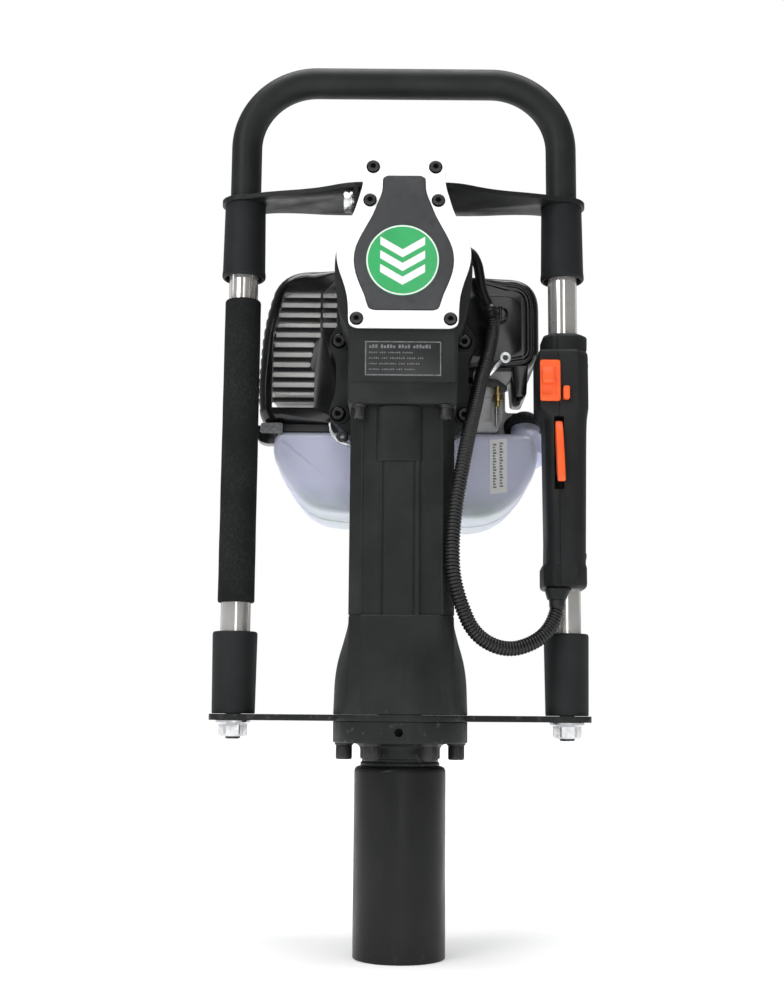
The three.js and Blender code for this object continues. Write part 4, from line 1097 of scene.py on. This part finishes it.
def make_grip():
    plain = [(12, 0), (13, 0), (12, 0), (11, 0)]
    square = [(9.6, 0.75), (8, 0.2), (8, 0.2), (3.2, 0)]
    collar = [(9, 0.8), (9, 0.8), (9, 0.8), (8, 0.8)]
    neck = [(11, 0.3), (10, 0.1), (10, 0.1), (7, 0)]
    levels = [(291, 118.2, 150.2, -7.6, 36, collar), (292.6, 116.6, 151.4, -9.6, 37.6, collar),
              (295, 116.2, 151.8, -10, 38, collar), (308, 116.2, 151.8, -10, 38, collar),
              (310.4, 117.2, 151.2, -9.3, 37.4, collar), (313, 118.6, 151.6, -8.2, 36.8, plain),
              (330, 119.0, 151.8, -8.0, 37.4, plain), (352, 119.0, 152, -8.0, 38, plain),
              (375, 118.8, 152.4, -8.2, 38.4, plain), (400, 118.6, 153.0, -8.5, 39, plain),
              (422, 118.4, 153.4, -8.9, 39.6, plain), (431, 118, 153.8, -9.2, 40.4, plain),
              (435, 116.2, 154.2, -9.5, 41.2, neck), (439, 114, 154.6, -9.8, 41.8, square),
              (441.5, 113.1, 154.9, -10, 42, square), (445, 112.7, 155, -10, 42, square),
              (484, 112.7, 155, -10, 42, square), (487.4, 113.1, 154.8, -9.7, 41.6, square),
              (489.6, 114.2, 154.2, -8.6, 40.6, square), (490.6, 117, 153.8, -5, 37, collar),
              (491.4, 118, 154.4, -3.4, 35.4, collar), (493, 117.8, 155, -3.2, 35.2, collar),
              (502.6, 117.8, 155.2, -3.2, 35.2, collar), (504.6, 118.8, 154.4, -2.2, 34.2, collar),
              (506, 120.4, 152.8, -0.4, 32.6, collar)]
    body = loft("grip_body", [grip_ring(*level) for level in levels])
    bore = rod("leg_bore", "z", 12.6, 288, 510, (TUBE_X, TUBE_Y), 64)
    trigger_slot = prism("trigger_slot", [(125.3, 372, 1.6), (133.5, 372, 1.6), (133.5, 433, 1.6),
            (125.3, 433, 1.6)], "y", -20, 6.4, 4)
    switch_well = prism("switch_well", [(117, 446, 1), (126, 446, 1), (126, 468, 1), (117, 468, 1)], "y",
                        -20, -5, 4)
    button_well = prism("button_well", [(132.2, 446, 1.2), (138.4, 446, 1.2), (138.4, 458, 1.2),
                                        (132.2, 458, 1.2)], "y", -20, 5, 4)
    lever_well = block("lever_well", 140.2, 165, 33.4, 60, 380, 490)
    gland_well = rod("gland_well", "z", 5, 288, 311, (126.7, -2), 32)
    panel = prism("panel", [(121, 294, 2), (142, 294, 2), (142, 307.4, 2), (121, 307.4, 2)], "y", -12, -9.4,
                  4)
    cut(body, bore, trigger_slot, switch_well, button_well, lever_well, gland_well, panel)
    outer = twin(body, "grip_outer_half")
    seam = 129.5
    body.name = "grip_inner_half"
    cut(body, block("right_part", seam - 0.15, 190, -80, 90, 200, 600))
    cut(outer, block("left_part", 60, seam + 0.15, -80, 90, 200, 600))
    fit(soften(body, 0.5, 2, 38), "handle", "plastic", "grip_shell_inner")
    fit(soften(outer, 0.5, 2, 38), "handle", "plastic", "grip_shell_outer")
    for i, (y, z, face) in enumerate([(29, 318, 151.7), (29, 366, 152.2), (2.6, 318, 151.6),
                                      (2.6, 478, 155)]):
        fit(screw(f"grip_screw_{i + 1}", (face - 1.3, y, z), "x", 1, 3.0, 1.5, 1.4, edge=0.4, depth=0.9,
                  sides=48), "handle", "oxide")

    side = rounded([(-8, 429), (-2, 430, 2), (0, 424), (-2, 418), (-8, 405, 4), (-14, 384, 3), (-19, 376, 3),
                    (-24.5, 377, 3), (-21, 392, 6), (-16, 409, 6), (-12, 422, 3)], 6)
    fit(soften(prism("trigger_lever", side, "x", 126.3, 132.5), 1.2, 4, 40), "trigger", "orange", "trigger")

    side = rounded([(39, 486, 2), (47, 488, 3), (50, 478, 6), (51, 444), (50.5, 410, 7), (47, 389, 3),
                    (40, 388, 2)], 8)
    lever = soften(prism("lockout_paddle", side, "x", 141, 156), 2.0, 4, 40)
    fit(lever, "lockout_lever", "plastic", "lockout_lever")

    plate = prism("stop_slider", [(113.8, 445.2, 2), (130.4, 445.2, 2), (130.4, 479.8, 2),
                                  (113.8, 479.8, 2)], "y", -12.5, -10.2, 5)
    stem = block("stem", 118, 125, -10.4, -6, 456, 466)
    unite(plate, stem, prism("thumb", [(-12.6, 473.5), (-13.6, 473.5), (-17, 462, 1.5), (-16, 459.4, 1.4),
                                       (-12.6, 459)], "x", 115.4, 124.4, 4))
    channel = prism("channel", [(124.8, 451.5, 0.8), (127.6, 451.5, 0.8), (127.6, 474, 0.8),
                                (124.8, 474, 0.8)], "y", -13, -11.6, 3)
    shelf = prism("shelf", [(115.2, 450.5, 1), (125, 450.5, 1), (125, 458.9, 1), (115.2, 458.9, 1)], "y",
                  -13, -11.4, 3)
    cut(plate, channel, shelf)
    fit(soften(plate, 0.7, 3, 36), "stop_switch", "orange", "stop_switch")

    button = prism("idle_button", [(132.7, 446.5, 1.4), (137.9, 446.5, 1.4), (137.9, 457.5, 1.4),
                                   (132.7, 457.5, 1.4)], "y", -15, 0.5, 5)
    fit(soften(button, 0.8, 3, 40), "lock_button", "orange", "lock_button")

    gland_rings = []
    for z, half, depth in ((281.5, 7.2, 7.0), (282.4, 7.8, 7.4), (284.4, 8.4, 7.6), (288.6, 10.6, 7.8),
                           (289.2, 11.6, 7.8), (290.7, 12, 7.8)):
        gland_rings.append(grip_ring(z, 126.7 - min(half, 9.4), 126.7 + half, -2 - depth, -2 + min(depth, 7),
                                     [(5, 0.3)] * 4))
    gland = loft("loom_gland", gland_rings)
    cut(gland, rod("loom_bore", "z", 6.4, 278, 283.6, (126.7, -2), 40))
    fit(soften(gland, 0.4, 2, 40), "handle", "plastic", "cable_gland")


make_brackets()
make_mounts()
make_handle()
make_grip()


# ---------------------------------------------------------------- engine
def make_muffler():
    shell_outline = rounded([(-50, 439.5), (-124, 439.5, 12), (-127.5, 470, 14), (-123.5, 530, 24),
                             (-109, 580, 28), (-50, 580)], 8)
    middle = Vector((-60, 505))

    def ring(pull, y):
        result = []
        for a, b in shell_outline:
            way = (middle - Vector((a, b))).normalized()
            held = 0.0 if a > -55 else 1.0
            result.append((a + way.x * pull * held, y, b + way.y * pull * held))
        return result

    def skin(name, grow, front, back):
        levels = []
        for k in range(9):
            t = math.pi / 2 * k / 8
            levels.append(ring(grow + 11 * (1 - math.sin(t)), front + 11 * (1 - math.cos(t))))
        return loft(name, levels + [ring(grow, back)])

    shell = skin("exhaust_guard", 0.0, 60, 150)
    room = skin("guard_room", 2.6, 62.6, 153)
    openside = block("open_side", -56, -40, 63, 153, 443, 576.5)
    slots = []
    ends = [-77] * 4 + [-80.5, -78.9, -77.3, -72] + [-72.6] * 4
    for i in range(12):
        z = 453.9 + 9.05 * i
        left = -114 + max(0, i - 7) * 2.3
        high = z + 4.8
        soft = 2.6 if 4 <= i < 7 else 1.1
        parts = [(left, ends[i])] + ([(-70.6, -58)] if i > 7 else [])
        for n, (x0, x1) in enumerate(parts):
            slots.append(prism(f"front_slot_{i}_{n}", [(x0, z, 1.1), (x1, z, soft), (x1, high, soft),
                    (x0, high, 1.1)], "y", 50, 74, 4))
        slots.append(block(f"corner_slot_{i}", -135, left - 4.4, 66, 79, z, high))
        slots.append(block(f"side_slot_{i}", -135, left - 5, 88, 138, z, high))
    cut(shell, room, openside, gather(*slots))
    fit(soften(shell, 0.5, 2, 40), "driver", "gloss", "muffler_cover", angle=40)

    can = prism("exhaust_can", [(-118, 466, 12), (-56, 466, 12), (-56, 560, 12), (-108, 560, 16)], "y", 66,
                138, 8)
    can = soften(can, 3, 5, 40)
    unite(can, rod("port", "x", 11, -58, -37.3, (106, 526)),
          prism("seam_bead", [(-119.2, 464.8, 12), (-54.8, 464.8, 12), (-54.8, 561.2, 12),
                              (-109, 561.2, 16)], "y", 105, 107.4, 8))
    ribs = [prism(f"press_{k}", [(-106, 482 + 24 * k, 4), (-66, 482 + 24 * k, 4), (-66, 490 + 24 * k, 4),
                                 (-106, 490 + 24 * k, 4)], "y", 64.8, 68, 5) for k in range(3)]
    unite(can, *ribs)
    cut(can, prism("can_room", [(-114, 470, 7), (-60, 470, 7), (-60, 556, 7), (-104, 556, 11)], "y", 81, 133,
                   4), rod("port_room", "x", 8, -62, -36, (106, 526)))
    # The can's look glows a little: painted light.
    fit(soften(can, 0.8, 2, 40), "driver", "muffler", "muffler")

    base = soften(block("exhaust_base", -105, -44, 64, 140, 432.6, 440.4), 1.5, 3, 40)
    fit(base, "driver", "label")
    bracket = soften(prism("tank_bracket", [(-127, 438, 2), (-127, 425, 7), (-119, 421.5, 5), (-109, 422, 2),
            (-109, 438, 2)], "y", 61, 76), 1.0, 3, 40)
    fit(bracket, "driver", "gloss")
    pale = soften(prism("bracket_insert", [(-124, 431, 2), (-104, 430, 2), (-104, 439.6, 2),
            (-123, 439.6, 2)], "y", 57.6, 61.6, 4), 0.6, 2, 40)
    fit(pale, "driver", "faded")


def make_air_cleaner():
    base = rounded([(50, 489), (112, 489, 7), (121, 500, 9), (121, 572.5, 29), (50, 572.5)], 10)

    def hold(amount):
        return lambda p: 0.0 if p[0] < 52 else amount

    levels = [(0, 142), (0, 66), (0.5, 61.5), (1.8, 58), (4, 55.8), (5.6, 55.2), (6.4, 55.4), (6.9, 56.4),
              (7.9, 56.4), (8.5, 55.4), (9.4, 55.1), (11.2, 55.3), (12.4, 56.6)]
    rings = [[(a, y, b) for a, b in inset(base, hold(d))] for d, y in levels]
    shell = loft("filter_cover", rings)
    room = prism("filter_room", [(40, 492), (109, 492), (118, 502, 3), (118, 569.5, 25), (40, 569.5)], "y",
                 60.5, 139, 8)
    panel = prism("panel_recess", [(57, 500, 4), (94, 500, 4), (105, 508, 10), (105, 555, 15), (57, 555, 4)],
                  "y", 50, 58.4, 8)
    lobe = soften(prism("filter_lobe", [(98.5, 464, 4), (109, 464, 4), (111, 494), (96.5, 494)], "y", 57,
                        110, 5), 1.4, 3, 40)
    cut(unite(shell, lobe), room, panel)
    fit(soften(shell, 0.6, 3, 40), "driver", "gloss", "air_cleaner_cover", angle=40)

    knob = lathe("filter_knob", [(0, 58.6), (7.5, 58.6, 0.8), (7.5, 53.6, 1.2), (5.2, 52.6, 1), (0, 52.6)],
                 (86, 538), "y", 64, steps=4)
    wing = soften(block("wing", 84.6, 87.4, 50.4, 53, 531.6, 544.4), 0.7, 3, 40)
    fit(gather(knob, wing), "driver", "gloss")
    body = soften(block("carb_body", 50, 74, 84, 112, 500, 530), 3, 4, 40)
    flange = soften(block("carb_flange", 47, 50.2, 80, 116, 497, 533), 1.2, 3, 40)
    unite(body, rod("carb_throat", "x", 12, 38.3, 90, (98, 515)), flange, rod("carb_bowl", "z", 11, 489, 501,
            (62, 98), edge=2))
    fit(soften(body, 0.6, 2, 40), "driver", "alu", "carburetor")

    backing = soften(prism("intake_bracket", [(50, 430, 3), (112, 430, 6), (114, 446, 8), (112, 462, 4),
            (95, 462, 3), (95, 490, 4), (50, 490, 3)], "y", 112, 127), 1.4, 3, 40)
    ribs = [soften(block(f"bracket_rib_{i}", 62 + 13 * i, 64.4 + 13 * i, 109.4, 112.6, 434,
                         486 - 12 * (i > 1)), 0.7, 2, 40) for i in range(3)]
    unite(backing, *ribs)
    fit(soften(backing, 0.5, 2, 40), "driver", "pale")

    front = prism("intake_casting", [(63, 434, 3), (84, 434, 3), (89, 446, 5), (89, 470, 5), (98, 486, 5),
                                     (98, 492, 2), (63, 492, 3)], "y", 66, 78)
    front = cut(soften(front, 1.6, 3, 40), block("casting_slot", 72, 79, 60, 70, 444, 466),
                rod("casting_eye", "y", 2.6, 60, 70, (84, 478)))
    fit(soften(front, 0.4, 2, 40), "driver", "pale")

    ring = lathe("earth_ring", [(2.2, 47.2, 0.3), (5, 47.2, 0.4), (5, 48.8, 0.4), (2.2, 48.8, 0.3)],
                 (90, 497), "y", 48, hollow=True, steps=3)
    tail = soften(prism("tail", [(74, 483), (77, 480.4), (87.4, 492), (85.6, 495.6)], "y", 47.3, 48.7, 3),
                  0.4, 2, 40)
    fit(unite(ring, tail), "driver", "zinc")
    adjuster = lathe("idle_adjuster", [(0, 455), (2.6, 455, 0.5), (2.6, 460), (4.6, 460, 0.6),
                                       (4.6, 466, 0.8), (3.2, 467), (3.2, 473), (0, 473)], (84, 58), "z", 48,
                     steps=3)
    fit(adjuster, "driver", "brass")
    pins = [rod("cable_pin_1", "z", 1.3, 438, 456, (82.6, 58), 20, 0.4), rod("cable_pin_2", "z", 1.1, 441,
            456, (85.8, 58), 20, 0.4)]
    fit(gather(*pins), "driver", "zinc")
    lever = soften(prism("throttle_arm", [(66, 482, 2), (84, 479.6, 2), (93, 473, 2), (91, 468, 2),
            (79, 473, 2), (66, 474, 2)], "y", 56.4, 59, 4), 0.6, 2, 40)
    fit(lever, "driver", "label")


FILLER, FILLER_LEAN = (110, 82, 428), -20


def lean(piece):
    """Turns a piece of the filler back, as its neck leans."""
    return turned(piece, FILLER, "X", FILLER_LEAN)


def make_tank():
    left, right, low, top = -112.5, 120, 360, 432.4
    outline = rounded([(left + 1, top, 12), (left, 414, 20), (-108.5, 402, 20), (-95, 380.5, 24),
                       (-79, 364.5, 20), (-54, low, 20), (36, low - 3, 20), (68, low - 4, 20),
                       (88, low + 2, 20), (105, 376, 20), (116.5, 397, 20), (right, 414, 20),
                       (right - 3, top, 12)], 8)

    def ring(by, y):
        """The outline, its bottom rising toward the back."""
        return [(a, y, b + 4 * (y - 54) / 152 * min(1.0, (top - b) / (top - low))) for a,
                b in inset(outline, by)]

    levels = []
    for k in range(9):
        t = math.pi / 2 * k / 8
        levels.append((8.5 * (1 - math.sin(t)), 54 + 13 * (1 - math.cos(t))))
    back = [(by, 260 - y) for by, y in reversed(levels)]
    seam = [(0, 126), (-0.9, 126.6), (-0.9, 129.4), (0, 130)]
    body = loft("tank_shell", [ring(by, y) for by, y in levels + seam + back])
    saddle = rod("saddle", "y", 78, 148, 210, SHAFT, 96)
    inner = loft("tank_room", [ring(3, 58), ring(3, 202)])
    cut(inner, rod("saddle_room", "y", 81, 145, 210, SHAFT, 96))
    spout = lathe("spout", [(0, 410), (17.5, 410), (17.2, 428), (15, 433), (13, 436), (13, 448), (0, 448)],
                  FILLER[:2], "z", 72)
    mouth = rod("mouth", "z", 10, 418, 452, FILLER[:2])
    cut(body, saddle)
    unite(body, lean(spout))
    cut(body, inner, lean(mouth))
    fit(soften(body, 0.8, 3, 40), "driver", "tank", "fuel_tank", angle=40)

    label = prism("tank_sticker", [(76.5, 377, 1), (91.5, 379, 1), (91.5, 426, 1), (76.5, 425, 1)], "y",
                  53.7, 56, 4)
    fit(label, "driver", "sticker")
    rows = [block("row", 79.2 + 5.8 * i, 82.2 + 5.8 * i - 0.5 * (k % 3), 53.56, 53.9, z, z + 1.5)
            for i in range(2) for k, z in ((k, 382.5 + 2.5 * k + 1.1 * i) for k in range(16))]
    fit(gather(*rows), "driver", "faded").name = "sticker_marks"

    def ridged(t):
        step = round(t * 60 / math.pi)
        return 18.4 - (0.7 if step % 3 == 0 and step // 3 % 2 else 0)

    levels = [(13.4, 448.2), (13.4, 441), (18.0, 441), (ridged, 442), (ridged, 447), (17.6, 448.4),
              (9.0, 455.6), (7.6, 456.2), (0.0, 456.2)]
    cap = loft("filler_cap", [circle(FILLER[:2], r, z, sides=120) for r, z in levels])
    unite(cap, soften(block("cap_bar", 99, 121, 79.4, 84.6, 448, 457.6), 1.2, 3, 40))
    fit(lean(cap), "fuel_cap", "plastic", "fuel_cap")

    strip = spline([(-62, 431), (-61, 424), (-57, 418), (-51, 414), (-43, 412)], 4)
    clip = prism("lead_clip", strip + [(a + 1.6, b + 2.4) for a, b in reversed(strip)], "y", 20, 27)
    fit(soften(clip, 0.4, 2, 40), "driver", "zinc")
    grommet = lathe("lead_grommet", [(2.2, 17), (5, 17, 1.2), (5, 27, 1), (2.2, 27)], (-50.5, 420), "y", 48,
                    hollow=True, steps=4)
    fit(grommet, "driver", "label")


def make_engine():
    case = rod("crankcase_casting", "y", 39, 52.3, 148, SHAFT, 96)
    flange = rod("case_flange", "y", 52, 52.3, 59.3, SHAFT, 96)
    cut(flange, block("flat", -60, 60, 50, 62, 400, 433))
    neck = block("case_neck", -30, 30, 72, 138, ENGINE, 516)
    ribs = [soften(block(f"case_rib_{i}", -41.5, 41.5, 64 + 18 * i, 67 + 18 * i, 452, 494), 1, 2, 40)
            for i in range(5)]
    unite(case, flange, neck, *ribs)
    cut(case, rod("shaft_hole", "y", 9, 50, 150, SHAFT))
    fit(soften(case, 1.2, 3, 36), "driver", "alu", "crankcase")

    core = block("cylinder_casting", -28, 28, 78, 132, 516, 566)
    fins = [prism(f"fin_{i}", [(-37, 72, 9), (37, 72, 9), (37, 138, 9), (-37, 138, 9)], "z", 520 + 8 * i,
                  522.6 + 8 * i, 5) for i in range(6)]
    unite(core, *fins)
    fit(soften(core, 0.4, 2, 40), "driver", "alu", "engine_cylinder")

    outline = rounded([(46, 540, 3), (46, 591, 15), (-46, 591, 15), (-46, 540, 3)], 8)
    top = soften(prism("top_shroud", outline, "y", 62, 148), 4, 5, 40)
    cut(top, prism("shroud_room", [(43, 530), (43, 588, 12), (-43, 588, 12), (-43, 530)], "y", 65, 145))
    vents = gather(*[prism(f"vent_{i}", [(-30, 78 + 10 * i, 2), (30, 78 + 10 * i, 2), (30, 82.4 + 10 * i, 2),
            (-30, 82.4 + 10 * i, 2)], "z", 577, 597, 4) for i in range(5)])
    cut(top, vents)
    fit(soften(top, 0.6, 2, 40), "driver", "gloss", "cylinder_cover", angle=40)
    for i, (x, y) in enumerate(((-36, 70), (36, 70), (-36, 140), (36, 140))):
        fit(screw(f"shroud_screw_{i + 1}", (x, y, 588.0), "z", 1, 4.2, 2.6, 2.1, edge=0.6, sides=48),
            "driver", "oxide")

    fan = rod("fan_casting", "y", 76, 150, 171.7, SHAFT, 128)
    unite(fan, *[rod(f"fan_lug_{i}", "y", 9, 160, 171.7, (76 * math.cos(a), ENGINE + 76 * math.sin(a)), 40)
                 for i, a in enumerate(math.radians(45 + 90 * k) for k in range(2))])
    cut(fan, rod("fan_room", "y", 70, 153, 173, SHAFT, 96), rod("fan_hole", "y", 12, 149, 154, SHAFT),
        gather(*[turned(block(f"inlet_{k}", -3, 3, 148, 156, ENGINE + 22, ENGINE + 58), (0, 0, ENGINE), "Y",
                        30 * k) for k in range(12)]))
    fit(soften(fan, 1.0, 3, 36), "driver", "alu", "fan_housing")

    dome = lathe("recoil_cover", [(0, 172), (72, 172), (72, 214, 10), (50, 214, 3), (46, 209.5, 3),
                                  (22, 209.5, 3), (18, 213, 3), (0, 213)], SHAFT, "y", 128, steps=8)
    cut(dome, rod("dome_room", "y", 69, 171, 206, SHAFT, 96),
        rod("rope_hole", "z", 3.5, 520, 560, (30, 196)),
        gather(*[turned(prism(f"grille_{k}", [(-3.2, ENGINE + 26, 2), (3.2, ENGINE + 26, 2),
            (5.4, ENGINE + 43, 2), (-5.4, ENGINE + 43, 2)], "y", 200, 216, 4), (0, 0, ENGINE), "Y", 22.5 * k)
                 for k in range(16)]),
        gather(*[turned(prism(f"side_vent_{k}", [(178, ENGINE - 4, 2), (196, ENGINE - 4, 2),
            (196, ENGINE + 4, 2), (178, ENGINE + 4, 2)], "x", 62, 76, 4), (0, 0, ENGINE), "Y", a) for k,
                 a in enumerate((-40, -20, 0, 20, 40, 140, 160, 180, 200, 220))]))
    fit(soften(dome, 0.7, 2, 36), "driver", "gloss", "starter_housing", angle=38)
    for k in range(4):
        a = math.radians(45 + 90 * k)
        place = (61 * math.cos(a), 213.2, ENGINE + 61 * math.sin(a))
        fit(screw(f"recoil_screw_{k + 1}", place, "y", 1, 4.2, 2.0, 2.1, edge=0.6, sides=48), "driver",
            "oxide")
    guide = lathe("rope_guide", [(2.3, 541.6, 0.4), (5.2, 541.6, 0.6), (5.2, 546.2, 1.2), (2.3, 546.2, 0.8)],
                  (30, 196), "z", 48, hollow=True, steps=4)
    fit(guide, "driver", "label")

    outline = rounded([(14, 190, 5.9), (46, 190, 5.9), (46, 202, 5.9), (14, 202, 5.9)], 8)
    pull = [[(30 + (a - 30) * f, 196 + (b - 196) * g, z) for a, b in outline] for f, g,
            z in ((0.42, 0.62, 555), (0.62, 0.82, 556), (0.86, 0.96, 559), (0.97, 1, 563), (1, 1, 567),
                  (0.97, 0.96, 570), (0.88, 0.8, 571.6), (0.74, 0.5, 572))]
    handle = loft("pull_handle", pull)
    stem = lathe("pull_stem", [(0, 547), (3.2, 547, 0.6), (4.6, 555.6, 1), (0, 555.6)], (30, 196), "z", 48,
                 steps=4)
    fit(soften(unite(handle, stem), 0.4, 2, 40), "starter_grip", "gloss", "starter_grip", angle=50)
    rope = sweep("starter_rope", [(30, 196, 530 + 1.0 * i) for i in range(19)], 1.7, 16)
    dress(rope, "hose")
    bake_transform(rope)


make_muffler()
make_air_cleaner()
make_tank()
make_engine()


# -------------------------------------------------------- pieces inside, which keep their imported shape
for node in ("anvil", "crankshaft", "clutch_drum", "lay_gear", "crank_gear", "connecting_rod",
             "drive_piston", "ram"):
    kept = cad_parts[node]
    kept.data.materials.clear()
    kept.data.materials.append(looks["bare"].material)
